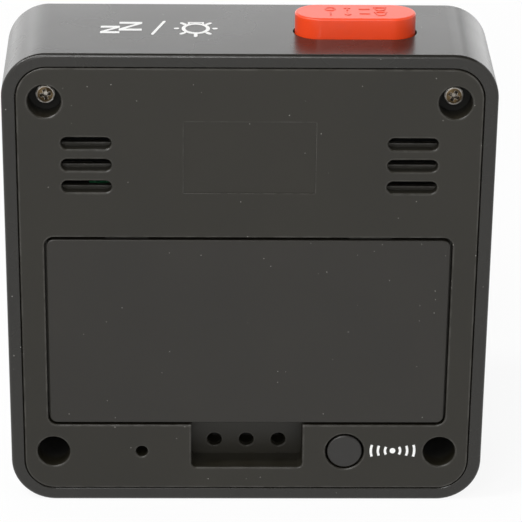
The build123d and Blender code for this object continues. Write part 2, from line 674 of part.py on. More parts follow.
def guide_outline(margin):
    """Light guide as X and Z ranges, moved out by a margin."""
    side = WIDTH / 2 - GUIDE_SIDE_MARGIN + margin
    bottom = LCD_BOTTOM + LCD_CONTACT_LEDGE + 2 * GUIDE_CLEARANCE
    top = HEIGHT - LCD_TOP_MARGIN - 2 * GUIDE_CLEARANCE
    return (-side, side), wider((bottom, top), margin)


def led_ranges():
    """X and Z ranges of the backlight LEDs at the lower edge of the light guide."""
    bottom = guide_outline(0.0)[1][0] + LED_CLEARANCE
    for side in (-1, 1):
        yield around(side * LED_OFFSET, LED_WIDTH), (bottom, bottom + LED_HEIGHT)


def make_light_guide():
    """Clear plate behind the display, notched for the LEDs."""
    x, z = guide_outline(0.0)
    plate = block(x, (LCD_REAR, LCD_REAR + GUIDE_THICKNESS), z)
    for led_x, led_z in led_ranges():
        notch = (z[0], led_z[1] + LED_CLEARANCE)
        plate -= block(wider(led_x, LED_CLEARANCE), (LCD_REAR, LCD_REAR + GUIDE_THICKNESS), notch)
    return plate


def make_backlight_leds():
    """LEDs that stand on the main board and reach into the light guide."""
    leds = []
    for x, z in led_ranges():
        leds.append(block(x, (TRAY_REAR - LED_DEPTH, TRAY_REAR), z))
    return Compound(children=leds)


def make_lcd_tray():
    """Tray that clamps the display and carries both boards."""
    side = WIDTH / 2 - TRAY_SIDE_MARGIN
    tray = slab(frame((-side, side), (TRAY_BOTTOM, HEIGHT - TRAY_TOP_MARGIN), TRAY_CORNER_RADIUS),
                LCD_REAR, TRAY_REAR)
    x, z = guide_outline(GUIDE_CLEARANCE)
    tray -= block(x, (LCD_REAR, LCD_REAR + GUIDE_THICKNESS), z)
    strip_x = around(0.0, STRIP_LENGTH + 2 * STRIP_CLEARANCE)
    tray -= block(strip_x, (LCD_REAR, TRAY_REAR), wider(strip_range(), STRIP_CLEARANCE))
    for led_x, led_z in led_ranges():
        tray -= block(wider(led_x, LED_CLEARANCE), (LCD_REAR, TRAY_REAR), wider(led_z, LED_CLEARANCE))
    for screw_x, screw_z in tray_screw_places():
        tray -= small_pilot(screw_x, screw_z, TRAY_REAR)
    for hook_x in HOOK_PLACES:
        tray += make_hook(around(hook_x, HOOK_WIDTH))
    for screw_x, screw_z in switch_screw_places():
        tray += slab(disc(screw_x, screw_z, POST_RADIUS), TRAY_REAR, SWITCH_BOARD_REAR - BOARD_THICKNESS)
        tray -= small_pilot(screw_x, screw_z, SWITCH_BOARD_REAR)
    return tray


def make_hook(x):
    """Snap hook over the upper edge of the main board."""
    leg_bottom = BOARD_TOP + HOOK_GAP
    hook_end = BOARD_REAR + HOOK_GAP + HOOK_NOSE
    leg = block(x, (TRAY_REAR, hook_end), (leg_bottom, leg_bottom + HOOK_THICKNESS))
    return leg + block(x, (BOARD_REAR + HOOK_GAP, hook_end), (BOARD_TOP - HOOK_LAP, leg_bottom))


# Boards and their components

def make_main_board():
    """Main circuit board with a cut corner, a battery tab and two screw holes."""
    side = WIDTH / 2 - BOARD_SIDE_MARGIN
    board = block((-side, side), (TRAY_REAR, BOARD_REAR), (BOARD_BOTTOM, BOARD_TOP))
    board -= block((-side, BOARD_CUT_WIDTH - side), (TRAY_REAR, BOARD_REAR),
                   (BOARD_TOP - BOARD_CUT_HEIGHT, BOARD_TOP))
    board += block((battery_lead_x() - BATTERY_LEAD_DIAMETER, -side), (TRAY_REAR, BOARD_REAR),
                   (BATTERY_TAB_BOTTOM, BATTERY_TAB_TOP))
    for x, z in board_screw_places():
        board -= slab(disc(x, z, SMALL_SHANK_RADIUS + SCREW_CLEARANCE), TRAY_REAR, BOARD_REAR)
    return board


def make_switch_board():
    """Small board that carries the latching switch, screwed to the tray."""
    front = SWITCH_BOARD_REAR - BOARD_THICKNESS
    board = block((SWITCH_BOARD_LEFT, SWITCH_BOARD_RIGHT), (front, SWITCH_BOARD_REAR),
                  (SWITCH_SCREW_LEVEL - SWITCH_BOARD_EDGE, SWITCH_TOP))
    for x, z in switch_screw_places():
        board -= slab(disc(x, z, SMALL_SHANK_RADIUS + SCREW_CLEARANCE), front, SWITCH_BOARD_REAR)
    return board


def make_receiver_chip():
    """Flat receiver chip with a row of legs on each side."""
    height = BOARD_TO_BAY - TACT_CLEARANCE
    chip_z = PAD_LEVEL
    chip = block(around(CHIP_X, CHIP_LENGTH), (BOARD_REAR, BOARD_REAR + height), around(chip_z, CHIP_WIDTH))
    pitch = CHIP_LENGTH / CHIP_LEGS
    for number in range(CHIP_LEGS):
        leg_x = around(CHIP_X + (number - (CHIP_LEGS - 1) / 2) * pitch, CHIP_LEG_WIDTH)
        chip += block(leg_x, (BOARD_REAR, BOARD_REAR + CHIP_LEG_THICKNESS),
                      around(chip_z, CHIP_WIDTH + 2 * CHIP_LEG_REACH))
    return chip


def make_controller_chip():
    """Chip sealed under a drop of black resin."""
    sphere_radius = (BLOB_RADIUS ** 2 + BLOB_HEIGHT ** 2) / (2 * BLOB_HEIGHT)
    ball = Pos(BLOB_X, BOARD_REAR + BLOB_HEIGHT - sphere_radius, CONTROL_ROW) * Sphere(sphere_radius)
    return ball & slab(disc(BLOB_X, CONTROL_ROW, 2 * BLOB_RADIUS), BOARD_REAR, BOARD_REAR + BLOB_HEIGHT)


def make_quartz_crystal():
    """Quartz can lying on the main board."""
    can = column(Pos(CRYSTAL_X, BOARD_REAR + CRYSTAL_RADIUS) * Circle(CRYSTAL_RADIUS),
                 CONTROL_ROW - CRYSTAL_LENGTH / 2, CONTROL_ROW + CRYSTAL_LENGTH / 2)
    return chamfer(can.edges().group_by(Axis.Z)[-1], CRYSTAL_RADIUS / 4)


def make_buzzer():
    """Round buzzer can with a sound hole, standing on the main board behind the duct."""
    top = BOARD_REAR + BUZZER_HEIGHT
    can = slab(disc(0.0, SOUND_LEVEL, BUZZER_RADIUS), BOARD_REAR, top)
    can = chamfer(can.edges().group_by(Axis.Y)[-1], SEAM_BEVEL)
    return can - slab(disc(0.0, SOUND_LEVEL, SOUND_HOLE_DIAMETER / 2), top - SOUND_HOLE_DIAMETER / 2, top)


def make_tact_body(x, z, base, way):
    """Tact switch body on a board face, opening towards +Y (way 1) or -Y (way -1)."""
    top = base + way * TACT_HEIGHT
    floor = top - way * TACT_BORE_DEPTH
    body = slab(frame(around(x, TACT_SIDE), around(z, TACT_SIDE)), min(base, top), max(base, top))
    bore = disc(x, z, TACT_PLUNGER_RADIUS + TACT_CLEARANCE)
    return body - slab(bore, min(floor, top), max(floor, top))


def make_tact_plunger(x, z, base, way, tip):
    """Tact switch plunger from inside its body to its tip."""
    inner = base + way * (TACT_HEIGHT - TACT_PLUNGER_SINK)
    return slab(disc(x, z, TACT_PLUNGER_RADIUS), min(inner, tip), max(inner, tip))


def rear_plunger_tip():
    """Depth of the tips of the plungers on the rear of the main board."""
    return BOARD_REAR + TACT_HEIGHT + REAR_PLUNGER_REACH


def key_flange_rear():
    """Depth of the rear of the key flanges, where the front plungers touch them."""
    return WALL_IN + KEY_FLANGE_THICKNESS


# Keys and buttons

def key_outline(x, margin):
    """Outline of a setting key, moved out by a margin."""
    return frame(around(x, KEY_WIDTH + 2 * margin), around(KEY_LEVEL, KEY_HEIGHT + 2 * margin),
                 KEY_CORNER_RADIUS + margin)


def make_setting_key(x):
    """Setting key with a flange behind the front wall."""
    face = FRONT + TROUGH_DEPTH - KEY_PROUD
    cap = slab(key_outline(x, 0.0), face, WALL_IN)
    cap = chamfer(cap.edges().group_by(Axis.Y)[0], KEY_GAP)
    return cap + slab(key_outline(x, KEY_GAP + KEY_FLANGE), WALL_IN, key_flange_rear())


def make_receive_key():
    """Round key, flush in the rear panel, with a flange behind its guide and a stem to its switch."""
    flange_rear = REAR - RECEIVE_GUIDE_LENGTH
    flange_front = flange_rear - RECEIVE_FLANGE_THICKNESS
    key = slab(disc(RECEIVE_X, CONTROL_ROW, RECEIVE_DIAMETER / 2), flange_rear, REAR)
    key = chamfer(key.edges().group_by(Axis.Y)[-1], MOUTH_BEVEL)
    key += slab(disc(RECEIVE_X, CONTROL_ROW, RECEIVE_FLANGE_RADIUS), flange_front, flange_rear)
    return key + slab(disc(RECEIVE_X, CONTROL_ROW, RECEIVE_STEM_RADIUS), rear_plunger_tip(), flange_front)


def make_alarm_button():
    """Hollow button cap with a flange under the top wall and a stem on the switch plunger."""
    roof = HEIGHT - WALL
    flange_bottom = roof - BUTTON_FLANGE_THICKNESS
    place = Pos(BUTTON_X, BUTTON_Y)
    cap = column(place * SlotOverall(BUTTON_LENGTH, BUTTON_WIDTH), flange_bottom, BUTTON_TOP)
    cap = fillet(cap.edges().group_by(Axis.Z)[-1], BUTTON_EDGE_RADIUS)
    lip = 2 * (BUTTON_GAP + BUTTON_FLANGE)
    cap += column(place * SlotOverall(BUTTON_LENGTH + lip, BUTTON_WIDTH + lip), flange_bottom, roof)
    hollow = SlotOverall(BUTTON_LENGTH - 2 * BUTTON_WALL, BUTTON_WIDTH - 2 * BUTTON_WALL)
    cap -= column(place * hollow, flange_bottom, BUTTON_TOP - BUTTON_WALL)
    cap += column(place * Rectangle(BUTTON_STEM, BUTTON_STEM), STEM_BOTTOM, BUTTON_TOP - BUTTON_WALL)
    socket = place * Rectangle(PLUNGER_SIDE, PLUNGER_SIDE)
    return cap - column(socket, STEM_BOTTOM, STEM_BOTTOM + PLUNGER_SOCKET)


def make_alarm_plunger():
    """Plunger of the latching switch, pressed into the button stem."""
    outline = Pos(BUTTON_X, BUTTON_Y) * Rectangle(PLUNGER_SIDE, PLUNGER_SIDE)
    return column(outline, SWITCH_TOP - PLUNGER_SINK, STEM_BOTTOM + PLUNGER_SOCKET)


def make_alarm_switch():
    """Latching push switch body with the bore of its plunger."""
    place = Pos(BUTTON_X, BUTTON_Y)
    body = column(place * Rectangle(SWITCH_SIDE, SWITCH_SIDE), SWITCH_BOTTOM, SWITCH_TOP)
    bore = PLUNGER_SIDE + 2 * PLUNGER_CLEARANCE
    return body - column(place * Rectangle(bore, bore), SWITCH_TOP - SWITCH_BORE_DEPTH, SWITCH_TOP)


# Antenna and touch foil

def rod_along_x(start, end, radius):
    """Round bar along X on the antenna axis."""
    return Pos((start + end) / 2, ROD_Y, ROD_Z) * Rot(0, 90, 0) * Cylinder(radius, end - start)


def make_ferrite_rod():
    """Ferrite rod held in the cradles under the top wall."""
    return rod_along_x(-ROD_LENGTH / 2, ROD_LENGTH / 2, ROD_RADIUS)


def make_antenna_coil():
    """Winding round the rod."""
    end = COIL_START + COIL_LENGTH
    sleeve = rod_along_x(COIL_START, end, COIL_RADIUS)
    return sleeve - rod_along_x(COIL_START, end, ROD_RADIUS + ROD_CLEARANCE)


def make_touch_foil():
    """Touch foil stuck to the underside of the top wall."""
    roof = HEIGHT - WALL
    return block(around(FOIL_X, FOIL_LENGTH), around(0.0, FOIL_WIDTH), (roof - FOIL_THICKNESS, roof))


# Battery, contacts and springs

def cell_ends():
    """Cells as Z of the axis and the way that the positive end points along X."""
    yield DOOR_MIDDLE + CELL_RISE, -1
    yield DOOR_MIDDLE - CELL_RISE, 1


def make_battery_cells():
    """Two AA cells, one each way round."""
    cells = []
    for z, way in cell_ends():
        tip = BAY_END - CONTACT_THICKNESS
        shoulder = tip - NUB_LENGTH
        flat = tip - CELL_LENGTH
        body = Cylinder(CELL_DIAMETER / 2, shoulder - flat)
        nub = Pos(0, 0, (shoulder - flat + NUB_LENGTH) / 2) * Cylinder(NUB_DIAMETER / 2, NUB_LENGTH)
        cell = body + nub
        cells.append(Pos(way * (shoulder + flat) / 2, CELL_Y, z) * Rot(0, way * 90, 0) * cell)
    return Compound(children=cells)


def make_end_contact(z):
    """Contact plate at the lead end of the bay, with a tab through the bay wall."""
    thickness = (-BAY_END, CONTACT_THICKNESS - BAY_END)
    plate = block(thickness, around(CELL_Y, CONTACT_SIDE), around(z, CONTACT_SIDE))
    tab_x = (-BAY_END - BAY_WALL - TAB_LENGTH, -BAY_END)
    return plate + block(tab_x, around(CELL_Y, TAB_WIDTH), around(z, CONTACT_THICKNESS))


def make_bridge_contact():
    """Plate that joins the two cells at the other end of the bay."""
    return block((BAY_END - CONTACT_THICKNESS, BAY_END), around(CELL_Y, CONTACT_SIDE),
                 around(DOOR_MIDDLE, 2 * CELL_RISE + CONTACT_SIDE))


def make_battery_springs():
    """Bowed leaf springs that press the flat ends of the cells."""
    bow = ((SPRING_SPAN / 2) ** 2 + SPRING_ROOM ** 2) / (2 * SPRING_ROOM)
    ring = Pos(SPRING_ROOM - bow, 0) * (Circle(bow) - Circle(bow - SPRING_THICKNESS))
    leaf = ring & frame((0.0, SPRING_ROOM), around(0.0, 2 * bow))
    spring = column(leaf, -SPRING_WIDTH / 2, SPRING_WIDTH / 2)
    springs = []
    for z, way in cell_ends():
        turned = spring if way > 0 else Rot(0, 0, 180) * spring
        springs.append(Pos(way * (CONTACT_THICKNESS - BAY_END), CELL_Y, z) * turned)
    return Compound(children=springs)


# Leads

def make_lead(name, x, points, section):
    """Lead with a given section along a route of Y and Z points, with arcs as wide as its runs allow."""
    route = [Vector(x, y, z) for y, z in points]
    radii = []
    for before, corner, after in zip(route, route[1:], route[2:]):
        turn = math.radians((corner - before).get_angle(after - corner))
        shorter = min((corner - before).length, (after - corner).length)
        radii.append(0.45 * shorter / math.tan(turn / 2))
    print(name, "lead radii:", [round(radius, 2) for radius in radii])
    path = FilletPolyline(*route, radius=radii)
    start = Plane(origin=path @ 0, x_dir=(1, 0, 0), z_dir=path % 0)
    return sweep(start * section, path=path)


def battery_lead_x():
    """X of both battery leads, beside the end wall of the bay."""
    return -BAY_END - BAY_WALL - TAB_LENGTH / 2


def make_battery_lead(name, z, way):
    """Lead from a contact tab to the battery tab of the main board, first along Z (way 1 up, -1 down)."""
    start = z + way * CONTACT_THICKNESS / 2
    end = start + way * BATTERY_LEAD_DROP
    points = [(CELL_Y, start), (CELL_Y, end), (BOARD_REAR, end)]
    return make_lead(name, battery_lead_x(), points, Circle(BATTERY_LEAD_DIAMETER / 2))


def make_switch_ribbon():
    """Flat lead from the switch board down to the main board."""
    bow = SWITCH_BOARD_REAR + LEAD_BOW
    points = [(SWITCH_BOARD_REAR, SWITCH_SCREW_LEVEL), (bow, SWITCH_SCREW_LEVEL), (bow, PAD_LEVEL),
              (BOARD_REAR, PAD_LEVEL)]
    section = Rectangle(SWITCH_RIBBON_WIDTH, RIBBON_THICKNESS)
    return make_lead("switch", BUTTON_X + SWITCH_RIBBON_SHIFT, points, section)


def make_antenna_ribbon():
    """Flat twin lead from the winding down to the main board."""
    start = ROD_Y + COIL_RADIUS
    bow = start + LEAD_BOW
    points = [(start, ROD_Z), (bow, ROD_Z), (bow, PAD_LEVEL), (BOARD_REAR, PAD_LEVEL)]
    return make_lead("antenna", ANTENNA_RIBBON_X, points, Rectangle(ANTENNA_RIBBON_WIDTH, RIBBON_THICKNESS))


def make_touch_ribbon():
    """Flat lead from the touch foil down to the main board."""
    bow = BOARD_REAR + LEAD_BOW
    points = [(bow, HEIGHT - WALL - FOIL_THICKNESS), (bow, PAD_LEVEL), (BOARD_REAR, PAD_LEVEL)]
    return make_lead("touch", TOUCH_RIBBON_X, points, Rectangle(TOUCH_RIBBON_WIDTH, RIBBON_THICKNESS))


# Screws

def make_screw(x, z, seat, head_radius, head_height, shank_radius, shank_length):
    """Pan head screw with a cross recess, its head towards the rear."""
    top = seat + head_height
    head = slab(disc(x, z, head_radius), seat, top)
    head = chamfer(head.edges().group_by(Axis.Y)[-1], CROWN_BEVEL)
    long_side = 2 * RECESS_SPAN * head_radius
    depth = (top - RECESS_DEPTH, top)
    head -= block(around(x, RECESS_WIDTH), depth, around(z, long_side))
    head -= block(around(x, long_side), depth, around(z, RECESS_WIDTH))
    return head + slab(disc(x, z, shank_radius), seat - shank_length, seat)


def make_case_screws():
    """Four screws that hold the rear panel to the case bosses."""
    screws = []
    for x, z, seat in well_places():
        screws.append(make_screw(x, z, seat, CASE_HEAD_RADIUS, CASE_HEAD_HEIGHT,
                                 CASE_SHANK_RADIUS, CASE_SHANK_LENGTH))
    return Compound(children=screws)


def make_small_screws(places, seat):
    """Short screws with their heads at one depth."""
    screws = []
    for x, z in places:
        screws.append(make_screw(x, z, seat, SMALL_HEAD_RADIUS, SMALL_HEAD_HEIGHT,
                                 SMALL_SHANK_RADIUS, SMALL_SHANK_LENGTH))
    return Compound(children=screws)


def make_nodes():
    """All pieces by name."""
    upper = DOOR_MIDDLE + CELL_RISE
    lower = DOOR_MIDDLE - CELL_RISE
    nodes = {
        "case_shell": make_case_shell(),
        "rear_panel": make_rear_panel(),
        "battery_door": make_battery_door(),
        "case_screws": make_case_screws(),
        "front_lens": make_front_lens(),
        "lcd_glass": make_lcd_glass(),
        "contact_strip": make_contact_strip(),
        "light_guide": make_light_guide(),
        "backlight_leds": make_backlight_leds(),
        "lcd_tray": make_lcd_tray(),
        "tray_screws": make_small_screws(tray_screw_places(), TRAY_REAR),
        "main_board": make_main_board(),
        "board_screws": make_small_screws(board_screw_places(), BOARD_REAR),
        "controller_chip": make_controller_chip(),
        "receiver_chip": make_receiver_chip(),
        "quartz_crystal": make_quartz_crystal(),
        "buzzer": make_buzzer(),
        "alarm_button": make_alarm_button(),
        "alarm_plunger": make_alarm_plunger(),
        "alarm_switch": make_alarm_switch(),
        "switch_board": make_switch_board(),
        "switch_board_screws": make_small_screws(switch_screw_places(), SWITCH_BOARD_REAR),
        "switch_ribbon": make_switch_ribbon(),
        "receive_key": make_receive_key(),
        "receive_plunger": make_tact_plunger(RECEIVE_X, CONTROL_ROW, BOARD_REAR, 1, rear_plunger_tip()),
        "receive_switch": make_tact_body(RECEIVE_X, CONTROL_ROW, BOARD_REAR, 1),
        "reset_plunger": make_tact_plunger(RESET_X, CONTROL_ROW, BOARD_REAR, 1, rear_plunger_tip()),
        "reset_switch": make_tact_body(RESET_X, CONTROL_ROW, BOARD_REAR, 1),
        "ferrite_rod": make_ferrite_rod(),
        "antenna_coil": make_antenna_coil(),
        "antenna_ribbon": make_antenna_ribbon(),
        "touch_foil": make_touch_foil(),
        "touch_ribbon": make_touch_ribbon(),
        "battery_cells": make_battery_cells(),
        "positive_contact": make_end_contact(upper),
        "negative_contact": make_end_contact(lower),
        "bridge_contact": make_bridge_contact(),
        "battery_springs": make_battery_springs(),
        "red_lead": make_battery_lead("red", upper, -1),
        "black_lead": make_battery_lead("black", lower, 1),
    }
    bodies = []
    for name, x in key_places():
        nodes[name + "_key"] = make_setting_key(x)
        nodes[name + "_plunger"] = make_tact_plunger(x, KEY_LEVEL, TRAY_REAR, -1, key_flange_rear())
        bodies.append(make_tact_body(x, KEY_LEVEL, TRAY_REAR, -1))
    nodes["setting_switches"] = Compound(children=bodies)
    return nodes


os.makedirs("parts", exist_ok=True)
for node, solid in make_nodes().items():
    export_step(solid, os.path.join("parts", node + ".step"))
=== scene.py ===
import logging
import math
from dataclasses import dataclass, field
from enum import Enum
from typing import Iterator, Optional, Sequence, Union

import bmesh
import bpy
from bpy.types import ID, Material, Mesh, Node, NodeOutputs, NodeSocket, NodeTree, Object
from mathutils import Euler, Matrix, Quaternion, Vector


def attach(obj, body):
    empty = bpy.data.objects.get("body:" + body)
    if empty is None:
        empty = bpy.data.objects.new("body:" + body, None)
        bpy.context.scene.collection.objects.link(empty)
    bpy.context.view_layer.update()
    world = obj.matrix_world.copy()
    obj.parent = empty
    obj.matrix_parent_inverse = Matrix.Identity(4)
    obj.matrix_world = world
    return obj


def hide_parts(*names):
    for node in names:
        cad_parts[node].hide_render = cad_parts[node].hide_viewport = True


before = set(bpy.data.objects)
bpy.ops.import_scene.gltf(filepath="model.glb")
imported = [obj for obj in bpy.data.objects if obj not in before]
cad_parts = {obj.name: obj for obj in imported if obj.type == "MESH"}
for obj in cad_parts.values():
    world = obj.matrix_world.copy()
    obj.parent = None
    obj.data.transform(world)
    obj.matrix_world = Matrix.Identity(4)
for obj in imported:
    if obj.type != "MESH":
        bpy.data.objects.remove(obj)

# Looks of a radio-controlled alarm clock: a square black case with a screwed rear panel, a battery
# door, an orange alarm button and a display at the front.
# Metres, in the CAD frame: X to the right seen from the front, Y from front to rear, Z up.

MM = 0.001
PAINTED_HIGHLIGHT_MARK = "edge_and_highlight_mask"
NOISE_LOW = 0.3
NOISE_HIGH = 0.7
WHITE = (1.0, 1.0, 1.0)
RIGHT = Vector((1, 0, 0))
REAR = Vector((0, 1, 0))
UP = Vector((0, 0, 1))
MIDDLE = (0.0, 0.0)

log = logging.getLogger("alarm_clock")

BMesh = bmesh.types.BMesh
BMVert = bmesh.types.BMVert
Triple = tuple[float, float, float]
Colour = Triple
Point = tuple[float, float]
Sign = Sequence[tuple]
Feed = Union[NodeSocket, float, int, Sequence[float]]


def gained(colour: Colour, gain: float) -> Colour:
    """Return a colour made lighter or darker."""
    return (colour[0] * gain, colour[1] * gain, colour[2] * gain)


# Node trees

class NodeBench:
    """A node tree with short calls that place nodes and join them."""

    def __init__(self, tree: NodeTree) -> None:
        """Take hold of a tree."""
        self.tree = tree

    def place(self, kind: str, inputs: Optional[dict] = None, **settings: object) -> Node:
        """Add a node.

        Args:
            kind: Blender's name of the node's type.
            inputs: Plain values or output sockets for the node's inputs, by socket name or number.
            settings: The node's own properties.

        Returns:
            The node.
        """
        node = self.tree.nodes.new(kind)
        for name, value in settings.items():
            setattr(node, name, value)
        for key, value in (inputs or {}).items():
            socket = node.inputs[key]
            if isinstance(value, NodeSocket):
                self.tree.links.new(value, socket)
            else:
                socket.default_value = (*value, 1.0) if socket.type == "RGBA" else value
        return node

    def math(self, operation: str, first: Feed, second: Feed = 0.0) -> NodeSocket:
        """Return the result of a Math node."""
        return self.place("ShaderNodeMath", {0: first, 1: second}, operation=operation).outputs[0]

    def spread(self, value: Feed, low: float, high: float,
               to_low: float = 0.0, to_high: float = 1.0) -> NodeSocket:
        """Return a value with the range from low to high mapped onto another, and clamped to it."""
        ranges = {"Value": value, "From Min": low, "From Max": high, "To Min": to_low, "To Max": to_high}
        return self.place("ShaderNodeMapRange", ranges, clamp=True).outputs["Result"]

    def sway(self, noise: Feed, low: float = 0.0, high: float = 1.0) -> NodeSocket:
        """Return a noise with its usual range mapped onto another."""
        return self.spread(noise, NOISE_LOW, NOISE_HIGH, low, high)

    def mix(self, factor: Feed, first: Feed, second: Feed) -> NodeSocket:
        """Return a colour between two others."""
        return self.place("ShaderNodeMix", {0: factor, 6: first, 7: second}, data_type="RGBA").outputs[2]

    def spot(self) -> NodeSocket:
        """Return Object coordinates."""
        return self.place("ShaderNodeTexCoord").outputs["Object"]

    def noise(self, size: Feed, detail: float = 2.0, spot: Optional[NodeSocket] = None) -> NodeSocket:
        """Place a noise texture.

        Args:
            size: Size of its features, in metres.
            detail: Number of finer layers.
            spot: Coordinates, or None for Object coordinates.

        Returns:
            The noise, around one half.
        """
        scale = self.math("DIVIDE", 1.0, size) if isinstance(size, NodeSocket) else 1.0 / size
        where = self.spot() if spot is None else spot
        inputs = {"Vector": where, "Scale": scale, "Detail": detail}
        return self.place("ShaderNodeTexNoise", inputs).outputs["Fac"]

    def stretched(self, gains: Triple) -> NodeSocket:
        """Return Object coordinates multiplied by a gain on each axis."""
        return self.place("ShaderNodeMapping", {"Vector": self.spot(), "Scale": gains}).outputs["Vector"]

    def bump(self, height: Feed, depth: float) -> NodeSocket:
        """Return a normal bent by a height map whose full range is a depth in metres."""
        return self.place("ShaderNodeBump", {"Height": height, "Distance": depth}).outputs["Normal"]

    def principled(self, inputs: dict) -> NodeSocket:
        """Return a Principled shader with its inputs by name."""
        return self.place("ShaderNodeBsdfPrincipled", inputs).outputs["BSDF"]

    def either(self, factor: Feed, first: NodeSocket, second: NodeSocket) -> NodeSocket:
        """Return a shader between two others."""
        return self.place("ShaderNodeMixShader", {0: factor, 1: first, 2: second}).outputs["Shader"]

    def seen_rays(self) -> NodeSocket:
        """Return 1 for camera, glossy and transmission rays, else 0.

        Returns:
            The socket of that number.
        """
        path = self.place("ShaderNodeLightPath").outputs
        seen = self.math("MAXIMUM", path["Is Camera Ray"], path["Is Glossy Ray"])
        return self.math("MAXIMUM", seen, path["Is Transmission Ray"])

    def effect(self, effect: "Effect", **values: float) -> dict[str, NodeSocket]:
        """Place a shared effect with its inputs by name, and return its outputs by name."""
        node = self.place("ShaderNodeGroup", values, node_tree=EFFECTS.tree(effect))
        return {socket.name: socket for socket in node.outputs}

    def sockets(self, way: str, **kinds: str) -> None:
        """Make sockets of a group, all INPUT or all OUTPUT, with the type of each by name."""
        for name, kind in kinds.items():
            self.tree.interface.new_socket(name=name, in_out=way, socket_type="NodeSocket" + kind)

    def inlets(self, **defaults: float) -> NodeOutputs:
        """Make the number inputs of a group.

        Args:
            defaults: Each input's name and first value.

        Returns:
            The sockets inside the group by name.
        """
        self.sockets("INPUT", **dict.fromkeys(defaults, "Float"))
        for name, value in defaults.items():
            self.tree.interface.items_tree[name].default_value = value
        return self.tree.nodes.new("NodeGroupInput").outputs

    def outlets(self, **feeds: NodeSocket) -> None:
        """Make the number outputs of a group and join what feeds them."""
        self.sockets("OUTPUT", **dict.fromkeys(feeds, "Float"))
        self.place("NodeGroupOutput", feeds)


class Effect(Enum):
    """Surface effects that several finishes share."""

    GRAIN = "moulded_grain"
    WEAR = "edge_wear"
    DUST = "dust_specks"


class EffectKit:
    """Builds each shared shader group once."""

    EDGE_SAMPLES = 8
    EDGE_RANGE = (0.85, 0.55)
    EDGE_PATCH = 1.6 * MM
    EDGE_BREAKS = (0.38, 0.62, 0.25)
    DUST_COVER = (0.5, 1.0, 0.25)

    def tree(self, effect: Effect) -> NodeTree:
        """Return an effect's node group, built on first use.

        Args:
            effect: Which of the shared effects.

        Returns:
            The group's tree.
        """
        made = bpy.data.node_groups.get(effect.value)
        if made is None:
            made = bpy.data.node_groups.new(effect.value, "ShaderNodeTree")
            makers = {Effect.GRAIN: self._grain, Effect.WEAR: self._wear, Effect.DUST: self._dust}
            makers[effect](NodeBench(made))
        return made

    def _grain(self, bench: NodeBench) -> None:
        """Fine spark-eroded grain, and slow changes of tone over the moulding."""
        inlet = bench.inlets(Size=0.3 * MM, Patch=14 * MM)
        bench.outlets(Height=bench.noise(inlet["Size"], 3.0), Tone=bench.sway(bench.noise(inlet["Patch"])))

    def _wear(self, bench: NodeBench) -> None:
        """Mask that is strong on outer edges and broken up by a noise; finishes lighten edges there for
        rubbing, and some for a painted highlight.

        Args:
            bench: The group's node tree.
        """
        inlet = bench.inlets(Radius=0.25 * MM)
        under = bench.place("ShaderNodeAmbientOcclusion", {"Distance": inlet["Radius"]},
                            samples=self.EDGE_SAMPLES, inside=True, only_local=True)
        edge = bench.spread(under.outputs["AO"], *self.EDGE_RANGE)
        broken = bench.spread(bench.noise(self.EDGE_PATCH, 4.0), *self.EDGE_BREAKS)
        bench.outlets(Mask=bench.math("MULTIPLY", edge, broken))

    def _dust(self, bench: NodeBench) -> None:
        """Mask of small specks that sit at random on the surface.

        Args:
            bench: The group's node tree.
        """
        inlet = bench.inlets(Spacing=1.3 * MM, Share=0.2, Radius=0.07 * MM)
        scale = bench.math("DIVIDE", 1.0, inlet["Spacing"])
        cells = bench.place("ShaderNodeTexVoronoi", {"Vector": bench.spot(), "Scale": scale}).outputs
        away = bench.math("MULTIPLY", cells["Distance"], inlet["Spacing"])
        near = bench.math("LESS_THAN", away, inlet["Radius"])
        lot = bench.place("ShaderNodeSeparateColor", {"Color": cells["Color"]}).outputs
        chosen = bench.math("LESS_THAN", lot["Red"], inlet["Share"])
        cover = bench.spread(lot["Green"], *self.DUST_COVER)
        bench.outlets(Mask=bench.math("MULTIPLY", bench.math("MULTIPLY", near, chosen), cover))


EFFECTS = EffectKit()


# Finishes

@dataclass(frozen=True)
class Finish:
    """A named surface finish that builds its own material."""

    name: str

    def material(self) -> Material:
        """Return the finish as a material, built on first use.

        Returns:
            The material, the same one each time.
        """
        made = bpy.data.materials.get(self.name)
        if made is None:
            made = bpy.data.materials.new(self.name)
            made.use_nodes = True
            made.node_tree.nodes.clear()
            bench = NodeBench(made.node_tree)
            bench.place("ShaderNodeOutputMaterial", {"Surface": self.surface(bench)})
        return made

    def surface(self, bench: NodeBench) -> NodeSocket:
        """Place the finish's nodes.

        Args:
            bench: The material's node tree.

        Returns:
            The shader.
        """
        raise NotImplementedError


